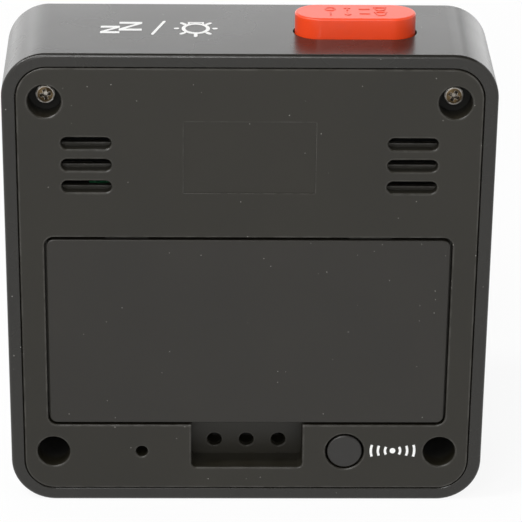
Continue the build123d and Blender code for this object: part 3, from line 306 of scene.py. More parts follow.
@dataclass(frozen=True)
class MouldedPlastic(Finish):
    """Moulded plastic with fine grain, specks of dust, lighter edges for rubbing and painted highlight, and
    painted shade in pits.
    """

    colour: Colour
    roughness: float = 0.42
    index: float = 1.5
    tone: float = 0.08
    sheen: float = 0.02
    grain_size: float = 0.3 * MM
    grain_depth: float = 0.004 * MM
    wear_and_highlight_colour: Colour = (0.05, 0.048, 0.044)
    wear: float = 0.5
    wear_and_highlight_radius: float = 0.25 * MM
    polish: float = 0.12
    dust: float = 0.2
    dust_colour: Colour = (0.60, 0.58, 0.55)
    dust_matt: float = 0.4
    pit_levels: Optional[Point] = None
    pit_sides: Point = (11 * MM, 20 * MM)
    pit_shade_gain: float = 0.3
    pit_matt: float = 0.35

    def surface(self, bench: NodeBench) -> NodeSocket:
        """Return the plastic's shader.

        Args:
            bench: The material's node tree.

        Returns:
            The shader's socket.
        """
        grain = bench.effect(Effect.GRAIN, Size=self.grain_size)
        edge_and_highlight_mask = bench.effect(Effect.WEAR, Radius=self.wear_and_highlight_radius)["Mask"]
        specks = bench.effect(Effect.DUST, Share=self.dust)["Mask"]
        pit = self._pit(bench)
        # The third gain darkens the colour in pits as painted shade.
        gains = (1.0 - self.tone, 1.0 + self.tone, self.pit_shade_gain)
        dark, light, pit_shade_colour = (gained(self.colour, gain) for gain in gains)
        body = bench.mix(pit, bench.mix(grain["Tone"], dark, light), pit_shade_colour)
        # Lighter edge colour: rubbing, and on the rear panel also a painted highlight.
        edged = bench.mix(bench.math("MULTIPLY", edge_and_highlight_mask, self.wear), body, self.wear_and_highlight_colour)
        roughness = bench.spread(grain["Tone"], 0.0, 1.0,
                                 self.roughness - self.sheen, self.roughness + self.sheen)
        for mask, gain in ((pit, self.pit_matt), (edge_and_highlight_mask, -self.polish), (specks, self.dust_matt)):
            roughness = bench.math("ADD", roughness, bench.math("MULTIPLY", mask, gain))
        return bench.principled({
            "Base Color": bench.mix(specks, edged, self.dust_colour), "Roughness": roughness,
            "IOR": self.index, "Normal": bench.bump(grain["Height"], self.grain_depth)})

    def _pit(self, bench: NodeBench) -> Feed:
        """Return a mask of the sunken places at the sides, which are made matt and painted darker as shade,
        or 0 if there are none.

        Args:
            bench: The material's node tree.

        Returns:
            The mask's socket, or the number 0.
        """
        if self.pit_levels is None:
            return 0.0
        spot = bench.place("ShaderNodeSeparateXYZ", {"Vector": bench.spot()}).outputs
        depth = bench.spread(spot["Y"], *self.pit_levels, 1.0, 0.0)
        side = bench.spread(bench.math("ABSOLUTE", spot["X"]), *self.pit_sides)
        return bench.math("MULTIPLY", depth, side)


@dataclass(frozen=True)
class PlatedMetal(Finish):
    """Plated steel with a thin uneven lustre, fine turning or rolling lines and pale edges for rubbing; on
    the screws the pale edges and chosen points are a painted highlight.
    """

    colour: Colour
    shade: Colour
    edge: Colour = (0.86, 0.84, 0.80)
    roughness: float = 0.28
    wear_and_highlight_radius: float = 0.06 * MM
    lines: Triple = (1.0, 12.0, 12.0)
    line_size: float = 0.5 * MM
    line_depth: float = 0.004 * MM
    cloud_size: float = 1.2 * MM
    rub_size: float = 0.9 * MM
    edge_and_highlight_matt: float = 0.15
    rub_metal: float = 0.3
    line_sway: Point = (-0.08, 0.1)
    clouds: Point = (0.35, 0.65)
    highlight_breaks: Triple = (0.36, 0.6, 0.3)

    def surface(self, bench: NodeBench) -> NodeSocket:
        """Return the metal's shader.

        Args:
            bench: The material's node tree.

        Returns:
            The shader's socket.
        """
        cloud = bench.spread(bench.noise(self.cloud_size, 3.0), *self.clouds)
        drawn = bench.noise(self.line_size, 2.0, bench.stretched(self.lines))
        edges = bench.effect(Effect.WEAR, Radius=self.wear_and_highlight_radius)["Mask"]
        highlight_marks = bench.place("ShaderNodeAttribute", attribute_name=PAINTED_HIGHLIGHT_MARK).outputs["Fac"]
        broken = bench.spread(bench.noise(self.rub_size, 3.0), *self.highlight_breaks)
        # On the screws, the pale edge colour on edges and chosen points is a painted highlight; elsewhere it
        # is rubbing.
        edge_and_highlight_mask = bench.math("MAXIMUM", edges, bench.math("MULTIPLY", highlight_marks, broken))
        plated = bench.mix(cloud, self.colour, self.shade)
        lined = bench.sway(drawn, *[self.roughness + sway for sway in self.line_sway])
        return bench.principled({
            "Base Color": bench.mix(edge_and_highlight_mask, plated, self.edge),
            "Metallic": bench.spread(edge_and_highlight_mask, 0.0, 1.0, 1.0, self.rub_metal),
            "Roughness": bench.math("ADD", lined, bench.math("MULTIPLY", edge_and_highlight_mask, self.edge_and_highlight_matt)),
            "Normal": bench.bump(drawn, self.line_depth)})


@dataclass(frozen=True)
class PrintedInk(Finish):
    """Pad-printed ink: matt, slightly uneven and thin in places."""

    colour: Colour
    thin: Colour
    thin_size: float = 0.22 * MM
    matt_size: float = 0.5 * MM
    depth: float = 0.003 * MM
    thinning: Point = (0.28, 0.42)
    roughness: Point = (0.45, 0.6)

    def surface(self, bench: NodeBench) -> NodeSocket:
        """Return the ink's shader.

        Args:
            bench: The material's node tree.

        Returns:
            The shader's socket.
        """
        cover = bench.spread(bench.noise(self.thin_size, 3.0), *self.thinning)
        return bench.principled({
            "Base Color": bench.mix(cover, self.thin, self.colour),
            "Roughness": bench.sway(bench.noise(self.matt_size), *self.roughness),
            "Normal": bench.bump(cover, self.depth)})


@dataclass(frozen=True)
class BoardLaminate(Finish):
    """Circuit board: solder mask over copper tracks, with tinned points."""

    # The mask and track colours are painted lighter than the board's own, standing in for light that reaches
    # it through the vents.
    mask: Colour = (0.045, 0.46, 0.18)
    track: Colour = (0.11, 0.60, 0.27)
    tin: Colour = (0.62, 0.60, 0.55)
    track_width: float = 4.0 * MM
    track_height: float = 1.3 * MM
    track_stroke: float = 0.16 * MM
    point_pitch: float = 3.2 * MM
    depth: float = 0.03 * MM
    matt_size: float = 0.8 * MM
    point_edge: Point = (0.2, 0.16)
    track_blur: float = 0.2
    roughness: Point = (0.3, 0.42)
    coat: float = 0.3

    def surface(self, bench: NodeBench) -> NodeSocket:
        """Return the board's shader.

        Args:
            bench: The material's node tree.

        Returns:
            The shader's socket.
        """
        flat = bench.place("ShaderNodeMapping", {"Vector": bench.spot(), "Rotation": (math.pi / 2, 0.0, 0.0)})
        line = bench.place("ShaderNodeTexBrick", {
            "Vector": flat.outputs["Vector"], "Scale": 1.0, "Mortar Smooth": self.track_blur,
            "Mortar Size": self.track_stroke, "Brick Width": self.track_width,
            "Row Height": self.track_height}).outputs["Fac"]
        cells = bench.place("ShaderNodeTexVoronoi", {"Vector": bench.spot(), "Scale": 1.0 / self.point_pitch})
        point = bench.spread(cells.outputs["Distance"], *self.point_edge)
        return bench.principled({
            "Base Color": bench.mix(point, bench.mix(line, self.mask, self.track), self.tin),
            "Roughness": bench.sway(bench.noise(self.matt_size), *self.roughness), "Coat Weight": self.coat,
            "Normal": bench.bump(bench.math("MAXIMUM", line, point), self.depth)})


@dataclass(frozen=True)
class ClearWindow(Finish):
    """Clear moulded window that lets shadow rays through."""

    tint: Colour = (0.97, 0.98, 0.98)
    index: float = 1.49
    haze_size: float = 30 * MM
    haze_range: Point = (0.2, 0.8)
    roughness: Point = (0.03, 0.045)

    def surface(self, bench: NodeBench) -> NodeSocket:
        """Return the window's shader.

        Args:
            bench: The material's node tree.

        Returns:
            The shader's socket.
        """
        haze = bench.spread(bench.noise(self.haze_size, 1.0), *self.haze_range, *self.roughness)
        clear = bench.principled({
            "Base Color": self.tint, "Roughness": haze, "IOR": self.index, "Transmission Weight": 1.0})
        through = bench.place("ShaderNodeBsdfTransparent", {"Color": self.tint}).outputs[0]
        return bench.either(bench.place("ShaderNodeLightPath").outputs["Is Shadow Ray"], clear, through)


@dataclass(frozen=True)
class DisplayFilm(Finish):
    """Reflective display: polariser film with a faint silver grain behind it."""

    colour: Colour = (0.36, 0.39, 0.33)
    silver: Colour = (0.44, 0.46, 0.40)
    grain_size: float = 0.12 * MM
    patch_size: float = 25 * MM
    roughness: Point = (0.22, 0.34)
    coat: float = 0.5
    coat_roughness: float = 0.08

    def surface(self, bench: NodeBench) -> NodeSocket:
        """Return the display's shader.

        Args:
            bench: The material's node tree.

        Returns:
            The shader's socket.
        """
        grain = bench.noise(self.grain_size)
        mean = bench.math("MULTIPLY", bench.math("ADD", grain, bench.noise(self.patch_size, 1.0)), 0.5)
        return bench.principled({
            "Base Color": bench.mix(mean, self.colour, self.silver),
            "Roughness": bench.sway(grain, *self.roughness),
            "Coat Weight": self.coat, "Coat Roughness": self.coat_roughness})


@dataclass(frozen=True)
class CopperWinding(Finish):
    """Enamelled copper wire, wound turn against turn round the X axis, with painted shade in the grooves
    between turns.
    """

    colour: Colour = (0.78, 0.32, 0.12)
    groove_shade: Colour = (0.16, 0.05, 0.02)
    pitch: float = 0.24 * MM
    depth: float = 0.08 * MM
    wave_scale: float = 0.314
    unevenness: float = 0.6
    metal: float = 0.85
    roughness: Point = (0.5, 0.25)

    def surface(self, bench: NodeBench) -> NodeSocket:
        """Return the winding's shader.

        Args:
            bench: The material's node tree.

        Returns:
            The shader's socket.
        """
        turn = bench.place("ShaderNodeTexWave", {
            "Vector": bench.spot(), "Scale": self.wave_scale / self.pitch, "Distortion": self.unevenness,
            "Detail": 1.0},
            wave_type="BANDS", bands_direction="X", wave_profile="SIN").outputs["Fac"]
        return bench.principled({
            "Base Color": bench.mix(turn, self.groove_shade, self.colour), "Metallic": self.metal,
            "Roughness": bench.spread(turn, 0.0, 1.0, *self.roughness),
            "Normal": bench.bump(turn, self.depth)})


@dataclass(frozen=True)
class CellFoil(Finish):
    """Printed foil jacket of a dry cell, with a lengthwise sheen and fine scuffs."""

    colour: Colour
    sheen: Colour
    roughness: float = 0.3
    scuff_matt: float = 0.2
    scuff_size: float = 2.5 * MM
    lines: Triple = (0.06, 1.0, 1.0)
    line_size: float = 0.4 * MM
    line_depth: float = 0.006 * MM
    scuffs: Point = (0.55, 0.7)
    metal: float = 0.6

    def surface(self, bench: NodeBench) -> NodeSocket:
        """Return the jacket's shader.

        Args:
            bench: The material's node tree.

        Returns:
            The shader's socket.
        """
        drawn = bench.noise(self.line_size, 3.0, bench.stretched(self.lines))
        scuff = bench.spread(bench.noise(self.scuff_size, 4.0), *self.scuffs)
        return bench.principled({
            "Base Color": bench.mix(bench.sway(drawn), self.colour, self.sheen), "Metallic": self.metal,
            "Roughness": bench.spread(scuff, 0.0, 1.0, self.roughness, self.roughness + self.scuff_matt),
            "Normal": bench.bump(drawn, self.line_depth)})


@dataclass(frozen=True)
class StudioPaper(Finish):
    """White floor paper that stays white to the camera and keeps a faint shadow."""

    colour: Colour = (0.93, 0.93, 0.93)
    glow_share: float = 0.9
    fibre_size: float = 0.8 * MM
    fibre_gains: Point = (0.99, 1.01)
    roughness: float = 0.9

    def surface(self, bench: NodeBench) -> NodeSocket:
        """Return the paper's shader.

        Args:
            bench: The material's node tree.

        Returns:
            The shader's socket.
        """
        dark, light = (gained(self.colour, gain) for gain in self.fibre_gains)
        colour = bench.mix(bench.noise(self.fibre_size, 3.0), dark, light)
        paper = bench.principled({"Base Color": colour, "Roughness": self.roughness})
        glow = bench.place("ShaderNodeEmission", {"Color": WHITE, "Strength": 1.0}).outputs[0]
        return bench.either(bench.math("MULTIPLY", bench.seen_rays(), self.glow_share), paper, glow)


CASE_BLACK = MouldedPlastic("case_black", (0.0142, 0.0132, 0.0108), roughness=0.27, index=1.47)
# In the panel's sunken places at the sides, such as the screw wells, the colour is painted darker as shade
# and the surface made matt.
# Rear panel: its light edge colour over a wide edge mask is partly rubbing and partly a painted highlight
# along the panel's edges and lips.
PANEL_BLACK = MouldedPlastic("panel_black", (0.0118, 0.0102, 0.0058), roughness=0.45, index=1.46, polish=0.25,
                             wear_and_highlight_colour=(0.11, 0.105, 0.096), wear=0.7, wear_and_highlight_radius=0.6 * MM,
                             pit_levels=(9.6 * MM, 11.8 * MM))
DOOR_BLACK = MouldedPlastic("door_black", (0.0135, 0.0118, 0.0086), roughness=0.45, index=1.47)
KEY_BLACK = MouldedPlastic("key_black", (0.0130, 0.0120, 0.0104), roughness=0.43)
TRAY_BLACK = MouldedPlastic("tray_black", (0.010, 0.010, 0.010), roughness=0.55, wear=0.3)
CHIP_BLACK = MouldedPlastic("chip_black", (0.012, 0.012, 0.013), roughness=0.5, grain_size=0.15 * MM)
SWITCH_BLACK = MouldedPlastic("switch_black", (0.015, 0.015, 0.016), roughness=0.4)
PLUNGER_WHITE = MouldedPlastic("plunger_white", (0.62, 0.60, 0.55), wear_and_highlight_colour=(0.7, 0.69, 0.65), dust=0.0)
BUTTON_ORANGE = MouldedPlastic("button_orange", (0.90, 0.060, 0.006), roughness=0.33, index=1.55, tone=0.03,
                               wear_and_highlight_colour=(0.92, 0.12, 0.04), wear=0.45, dust=0.08)
# Button signs: the button's plastic made matt, with a darker colour as painted shade on the raised signs.
BUTTON_MATT_SHADED = MouldedPlastic("button_matt_shaded", (0.80, 0.052, 0.007), roughness=0.5, tone=0.03,
                             wear_and_highlight_colour=(0.90, 0.11, 0.04), wear=0.3, dust=0.0)
GUIDE_MILK = MouldedPlastic("guide_milk", (0.80, 0.82, 0.80), roughness=0.25, wear_and_highlight_colour=(0.85, 0.86, 0.85),
                            dust=0.0)
LED_WHITE = MouldedPlastic("led_white", (0.82, 0.80, 0.66), roughness=0.3, wear_and_highlight_colour=(0.85, 0.84, 0.75), dust=0.0)
STRIP_RUBBER = MouldedPlastic("strip_bands", (0.16, 0.16, 0.17), roughness=0.7, wear_and_highlight_colour=(0.2, 0.2, 0.2),
                              dust=0.0)
BLOB_RESIN = MouldedPlastic("blob_resin", (0.008, 0.008, 0.008), roughness=0.2, wear=0.1)
ROD_FERRITE = MouldedPlastic("rod_ferrite", (0.035, 0.034, 0.034), roughness=0.55, tone=0.25,
                             grain_size=0.2 * MM, grain_depth=0.02 * MM, wear_and_highlight_colour=(0.10, 0.10, 0.10))
WIRE_WHITE = MouldedPlastic("wire_white", (0.72, 0.72, 0.70), roughness=0.4, wear_and_highlight_colour=(0.76, 0.76, 0.74),
                            dust=0.0)
WIRE_RED = MouldedPlastic("wire_red", (0.50, 0.012, 0.010), roughness=0.38, wear_and_highlight_colour=(0.55, 0.03, 0.02), dust=0.0)
WIRE_BLACK = MouldedPlastic("wire_black", (0.012, 0.012, 0.012), roughness=0.38, dust=0.0)
# Screw plating: the pale edge colour on the head's rim and shoulder and in the middle of the cross is a
# painted highlight.
SCREW_STEEL = PlatedMetal("screw_plating", (0.15, 0.105, 0.055), (0.03, 0.02, 0.01), (0.95, 0.91, 0.84),
                          roughness=0.3, wear_and_highlight_radius=0.12 * MM)
CONTACT_NICKEL = PlatedMetal("contact_nickel", (0.76, 0.74, 0.70), (0.62, 0.60, 0.56), roughness=0.24)
CAN_STEEL = PlatedMetal("can_plating", (0.72, 0.72, 0.72), (0.60, 0.60, 0.61), roughness=0.2)
FOIL_COPPER = PlatedMetal("foil_copper", (0.80, 0.42, 0.22), (0.66, 0.32, 0.16), roughness=0.3)
WHITE_INK = PrintedInk("white_ink", (0.90, 0.90, 0.89), (0.76, 0.76, 0.75))
SEGMENT_INK = PrintedInk("segment_ink", (0.018, 0.019, 0.020), (0.03, 0.03, 0.032))
RESTING_INK = PrintedInk("resting_ink", (0.33, 0.36, 0.305), (0.35, 0.38, 0.325))
BOARD_GREEN = BoardLaminate("board_green")
LENS_CLEAR = ClearWindow("lens_clear")
DISPLAY_GREY = DisplayFilm("display_grey")
COIL_COPPER = CopperWinding("coil_copper")
JACKET_DARK = CellFoil("jacket_dark", (0.02, 0.022, 0.028), (0.06, 0.062, 0.07))
JACKET_GOLD = CellFoil("jacket_gold", (0.60, 0.36, 0.14), (0.74, 0.48, 0.22))
PAPER_WHITE = StudioPaper("paper_white")
CLOTH_DARK = MouldedPlastic("cloth_dark", (0.10, 0.10, 0.10), roughness=0.9, wear=0.0, dust=0.0)


# Meshes and pieces

def dress(looks: dict[Finish, str]) -> None:
    """Give CAD nodes their finishes.

    Args:
        looks: The nodes that take each finish, their names parted by spaces.
    """
    for finish, names in looks.items():
        for name in names.split():
            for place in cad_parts[name].material_slots:
                place.material = finish.material()
            log.info("%s wears %s", name, finish.name)


def link(name: str, data: ID) -> Object:
    """Return a new object of some data, put in the scene.

    Args:
        name: Name of the object.
        data: Its mesh, lamp or camera.

    Returns:
        The object.
    """
    made = bpy.data.objects.new(name, data)
    bpy.context.scene.collection.objects.link(made)
    return made


def add_piece(name: str, mesh: Mesh, body: str, slot: str, *stands_for: str) -> None:
    """Put a finished mesh in the scene as a piece that rides on a body.

    Args:
        name: The piece's name.
        mesh: Its mesh, in place and with its materials.
        body: The CAD body that carries it.
        slot: The record's material slot; not used.
        stands_for: CAD nodes that it replaces.
    """
    piece = link(name, mesh)
    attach(piece, body)
    if stands_for:
        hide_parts(*stands_for)
    log.info("%s rides on %s with %d faces", name, body, len(mesh.polygons))


def to_mesh(name: str, shape: BMesh, *finishes: Finish) -> Mesh:
    """Turn a bmesh into a mesh with outward faces.

    Args:
        name: The mesh's name.
        shape: The bmesh, which is freed.
        finishes: Its finishes, in the order of the faces' material numbers.

    Returns:
        The mesh.
    """
    bmesh.ops.recalc_face_normals(shape, faces=shape.faces)
    mesh = bpy.data.meshes.new(name)
    shape.to_mesh(mesh)
    shape.free()
    for finish in finishes:
        mesh.materials.append(finish.material())
    return mesh


def baked(name: str, mesh: Mesh, kind: str, settings: dict) -> Mesh:
    """Apply a modifier to a mesh.

    Args:
        name: Name of the new mesh.
        mesh: The mesh before it.
        kind: The modifier's type.
        settings: Its settings; one that is a socket identifier is an input.

    Returns:
        The new mesh.
    """
    holder = link(name, mesh)
    modifier = holder.modifiers.new(kind.lower(), kind)
    for key, value in settings.items():
        if key.startswith("Socket_"):
            modifier[key] = value
        else:
            setattr(modifier, key, value)
    graph = bpy.context.evaluated_depsgraph_get()
    result = bpy.data.meshes.new_from_object(holder.evaluated_get(graph), depsgraph=graph)
    result.name = name
    bpy.data.objects.remove(holder)
    return result


def polar(centre: Point, radius: float, degrees: float) -> Point:
    """Return the point at a radius and an angle round a centre."""
    turn = math.radians(degrees)
    return (centre[0] + radius * math.cos(turn), centre[1] + radius * math.sin(turn))


def arc(centre: Point, radius: float, start: float, end: float, steps: int) -> list[Point]:
    """Return points along an arc between two angles in degrees, both ends included."""
    return [polar(centre, radius, start + (end - start) * step / steps) for step in range(steps + 1)]


def circle(centre: Point, radius: float, steps: int) -> list[Point]:
    """Return points round a circle."""
    return arc(centre, radius, 0.0, 360.0, steps)[:-1]


def add_prism(shape: BMesh, low: list[BMVert], high: list[BMVert]) -> None:
    """Close two rings of as many points to a prism.

    Args:
        shape: The bmesh that holds the points.
        low: One ring.
        high: The other ring.
    """
    shape.faces.new(high)
    shape.faces.new(low[::-1])
    for number in range(len(low)):
        after = (number + 1) % len(low)
        shape.faces.new((low[number], low[after], high[after], high[number]))


@dataclass
class Turning:
    """A turned shape: a profile of radius and height, spun round the Y axis."""

    profile: Sequence[Point]
    finishes: Sequence[int] = ()
    steps: int = 48

    def spin_into(self, shape: BMesh, place: Matrix) -> None:
        """Add the turned shape to a bmesh.

        Args:
            shape: The bmesh.
            place: Where the turned shape goes.
        """
        rings = [self._ring(shape, place, radius, height) for radius, height in self.profile]
        for number, (low, high) in enumerate(zip(rings, rings[1:])):
            for step in range(self.steps):
                after = (step + 1) % self.steps
                corners = [low[step % len(low)], low[after % len(low)],
                           high[after % len(high)], high[step % len(high)]]
                face = shape.faces.new(list(dict.fromkeys(corners)))
                face.smooth = True
                face.material_index = self.finishes[number] if self.finishes else 0

    def _ring(self, shape: BMesh, place: Matrix, radius: float, height: float) -> list[BMVert]:
        """Return one ring of points, or a single point on the axis."""
        ring = circle(MIDDLE, radius, self.steps) if radius > 0.0 else [MIDDLE]
        return [shape.verts.new(place @ Vector((u, height, v))) for u, v in ring]


class Mark(Enum):
    """Kinds of mark, each with the stencil's method that draws it."""

    AREA = "area"
    BAR = "bar"
    PILL = "pill"
    BAND = "band"
    RING = "ring"
    DOT = "dot"


@dataclass
class Stencil:
    """Marks drawn flat on a face, in millimetres, and raised from it as thin prisms."""

    origin: Vector
    right: Vector
    up: Vector
    lift: float = 0.03 * MM
    sink: float = 0.02 * MM
    end_steps: int = 8
    arc_steps: int = 20
    dot_steps: int = 24
    loops: list[list[Point]] = field(default_factory=list)

    def draw(self, sign: Sign, x: float = 0.0, y: float = 0.0, way: int = 1) -> None:
        """Draw a sign.

        Args:
            sign: The kind and the sizes of each of its marks.
            x: Place of its middle across.
            y: Place of its middle up.
            way: 1 for upright, -1 for upside down.
        """
        for mark, *sizes in sign:
            moved = [(x + size[0], y + way * size[1]) if isinstance(size, tuple) else size for size in sizes]
            getattr(self, mark.value)(*moved)

    def area(self, *corners: Point) -> None:
        """Add a filled outline."""
        self.loops.append(list(corners))

    def bar(self, start: Point, end: Point, width: float, steps: int = 1) -> None:
        """Add a straight bar.

        Args:
            start: Middle of one end.
            end: Middle of the other end.
            width: The bar's width.
            steps: Number of runs in each end, which is square with one and round with more.
        """
        lean = math.degrees(math.atan2(end[1] - start[1], end[0] - start[0]))
        self.area(*arc(start, width / 2, lean + 90.0, lean + 270.0, steps),
                  *arc(end, width / 2, lean - 90.0, lean + 90.0, steps))

    def pill(self, start: Point, end: Point, width: float) -> None:
        """Add a straight bar with round ends."""
        self.bar(start, end, width, self.end_steps)

    def band(self, centre: Point, radius: float, width: float, start: float, end: float) -> None:
        """Add an arc of even width about its middle line, between two angles in degrees."""
        outer = arc(centre, radius + width / 2, start, end, self.arc_steps)
        self.area(*outer, *arc(centre, radius - width / 2, end, start, self.arc_steps))

    def ring(self, centre: Point, radius: float, width: float) -> None:
        """Add a full ring as two half bands."""
        self.band(centre, radius, width, 0.0, 180.0)
        self.band(centre, radius, width, 180.0, 360.0)

    def dot(self, centre: Point, radius: float) -> None:
        """Add a filled disc."""
        self.area(*circle(centre, radius, self.dot_steps))

    def mesh(self, name: str, finish: Finish) -> Mesh:
        """Return the marks as one mesh.

        Args:
            name: The mesh's name.
            finish: Its finish.

        Returns:
            The mesh.
        """
        out = self.right.cross(self.up)
        shape = bmesh.new()
        for loop in self.loops:
            flat = [self.origin + (self.right * u + self.up * v) * MM for u, v in loop]
            add_prism(shape, *[[shape.verts.new(spot + out * rise) for spot in flat]
                               for rise in (-self.sink, self.lift)])
        return to_mesh(name, shape, finish)


# Screws

@dataclass(frozen=True)
class CrossScrew:
    """A cross-head screw along the Y axis, its head's seat at the origin."""

    head_radius: float
    head_height: float
    shank_radius: float
    shank_length: float
    recess_depth: float = 0.8
    recess_span: float = 0.66
    recess_width: float = 0.36
    thread_pitch: float = 0.5 * MM
    thread_root: float = 0.78
    plain_tip: float = 1.2 * MM
    blunt_tip: float = 0.3 * MM
    sharp_angle: float = 35.0
    bit_taper: float = 0.3
    bit_reach: float = 1.1

    CROWN = ((0.0, 1.0), (0.5, 0.985), (0.78, 0.955), (0.89, 0.93), (1.0, 0.74), (1.0, 0.06), (0.96, 0.0))
    THREAD_FALLS = (0.32, 0.6, 0.88)
    SHOULDER = (0.86, 0.7)
    CROSS_MIDDLE = (0.3, 0.5)

    def profile(self) -> list[Point]:
        """Return the screw's outline from the crown to the tip.

        Returns:
            Pairs of radius and height, the head's seat at height 0.
        """
        root = self.shank_radius * self.thread_root
        points = [(share * self.head_radius, rise * self.head_height) for share, rise in self.CROWN]
        points.append((root, 0.0))
        for turn in range(int((self.shank_length - self.plain_tip) / self.thread_pitch)):
            for radius, fall in zip((root, self.shank_radius, root), self.THREAD_FALLS):
                points.append((radius, -(turn + fall) * self.thread_pitch))
        return points + [(root / 2, self.blunt_tip - self.shank_length), (0.0, -self.shank_length)]

    def template(self, name: str) -> Object:
        """Return the screw as an object, its cross cut into the crown.

        Args:
            name: Name of the object and its mesh.

        Returns:
            The template object, linked to the scene.
        """
        blank = bmesh.new()
        Turning(self.profile(), steps=32).spin_into(blank, Matrix.Identity(4))
        cutter = link(name + "_bit", self._bit(name + "_bit"))
        cut = baked(name, to_mesh(name + "_blank", blank, SCREW_STEEL), "BOOLEAN", {
            "object": cutter, "operation": "DIFFERENCE", "solver": "EXACT"})
        bpy.data.objects.remove(cutter)
        cut.set_sharp_from_angle(angle=math.radians(self.sharp_angle))
        self._mark_painted_highlight(cut)
        return link(name, cut)

    def _mark_painted_highlight(self, mesh: Mesh) -> None:
        """Mark the points where a highlight is painted: the head's shoulder and the middle of the cross.

        Args:
            mesh: The screw.
        """
        mark = mesh.attributes.new(PAINTED_HIGHLIGHT_MARK, "FLOAT", "POINT")
        for point, value in zip(mesh.vertices, mark.data):
            share = math.hypot(point.co.x, point.co.z) / self.head_radius
            rise = point.co.y / self.head_height
            shoulder = share > self.SHOULDER[0] and rise > self.SHOULDER[1]
            middle = share < self.CROSS_MIDDLE[0] and 0.0 < rise < self.CROSS_MIDDLE[1]
            value.value = 1.0 if shoulder else 0.5 if middle else 0.0

    def _bit(self, name: str) -> Mesh:
        """Return the tapered cross that the driver's bit leaves.

        Args:
            name: The mesh's name.

        Returns:
            The mesh.
        """
        shape = bmesh.new()
        rings = []
        for rise, share in ((1.0 - self.recess_depth, self.bit_taper), (self.bit_reach, 1.0)):
            span = self.recess_span * self.head_radius * share
            half = self.recess_width * self.head_radius / 2 * (0.6 + 0.4 * share)
            arm = [(span, -half), (span, half), (half, half)]
            turns = [Matrix.Rotation(number * math.pi / 2, 2) for number in range(4)]
            outline = [turn @ Vector(corner) for turn in turns for corner in arm]
            rings.append([shape.verts.new((u, rise * self.head_height, v)) for u, v in outline])
        add_prism(shape, *rings)
        return to_mesh(name, shape, SCREW_STEEL)


class ScrewDriver:
    """Geometry Nodes tree that sets a screw on each seat, each turned its own way."""

    NAME = "screws_on_seats"

    def tree(self) -> NodeTree:
        """Return the tree, built on first use.

        Returns:
            The tree, with the seats, the screw, the seed and the finish as its inputs.
        """
        made = bpy.data.node_groups.get(self.NAME)
        if made is not None:
            return made
        made = bpy.data.node_groups.new(self.NAME, "GeometryNodeTree")
        bench = NodeBench(made)
        bench.sockets("INPUT", Seats="Geometry", Screw="Object", Seed="Int", Finish="Material")
        bench.sockets("OUTPUT", Screws="Geometry")
        given = made.nodes.new("NodeGroupInput").outputs
        screw = bench.place("GeometryNodeObjectInfo", {"Object": given["Screw"]})
        turn = bench.place("FunctionNodeRandomValue", {2: 0.0, 3: math.pi / 2, "Seed": given["Seed"]},
                           data_type="FLOAT")
        about = bench.place("ShaderNodeCombineXYZ", {"Y": turn.outputs[1]})
        rotation = bench.place("FunctionNodeEulerToRotation", {"Euler": about.outputs["Vector"]})
        placed = bench.place("GeometryNodeInstanceOnPoints", {
            "Points": given["Seats"], "Instance": screw.outputs["Geometry"], "Rotation": rotation.outputs[0]})
        solid = bench.place("GeometryNodeRealizeInstances", {"Geometry": placed.outputs["Instances"]})
        dressed = bench.place("GeometryNodeSetMaterial", {
            "Geometry": solid.outputs["Geometry"], "Material": given["Finish"]})
        bench.place("NodeGroupOutput", {"Screws": dressed.outputs["Geometry"]})
        return made

    def drive(self, name: str, screw: CrossScrew, seats: Sequence[Triple], seed: int) -> Mesh:
        """Return screws on seats as one plain mesh.

        Args:
            name: The mesh's name.
            screw: The screw.
            seats: Places under the screws' heads.
            seed: Seed of the turns.

        Returns:
            The mesh.
        """
        template = screw.template(name + "_template")
        points = bpy.data.meshes.new(name + "_seats")
        points.from_pydata(seats, [], [])
        tree = self.tree()
        keys = {item.name: item.identifier for item in tree.interface.items_tree if item.in_out == "INPUT"}
        mesh = baked(name, points, "NODES", {
            "node_group": tree, keys["Screw"]: template, keys["Seed"]: seed,
            keys["Finish"]: SCREW_STEEL.material()})
        bpy.data.objects.remove(template)
        return mesh


# Sub-assemblies

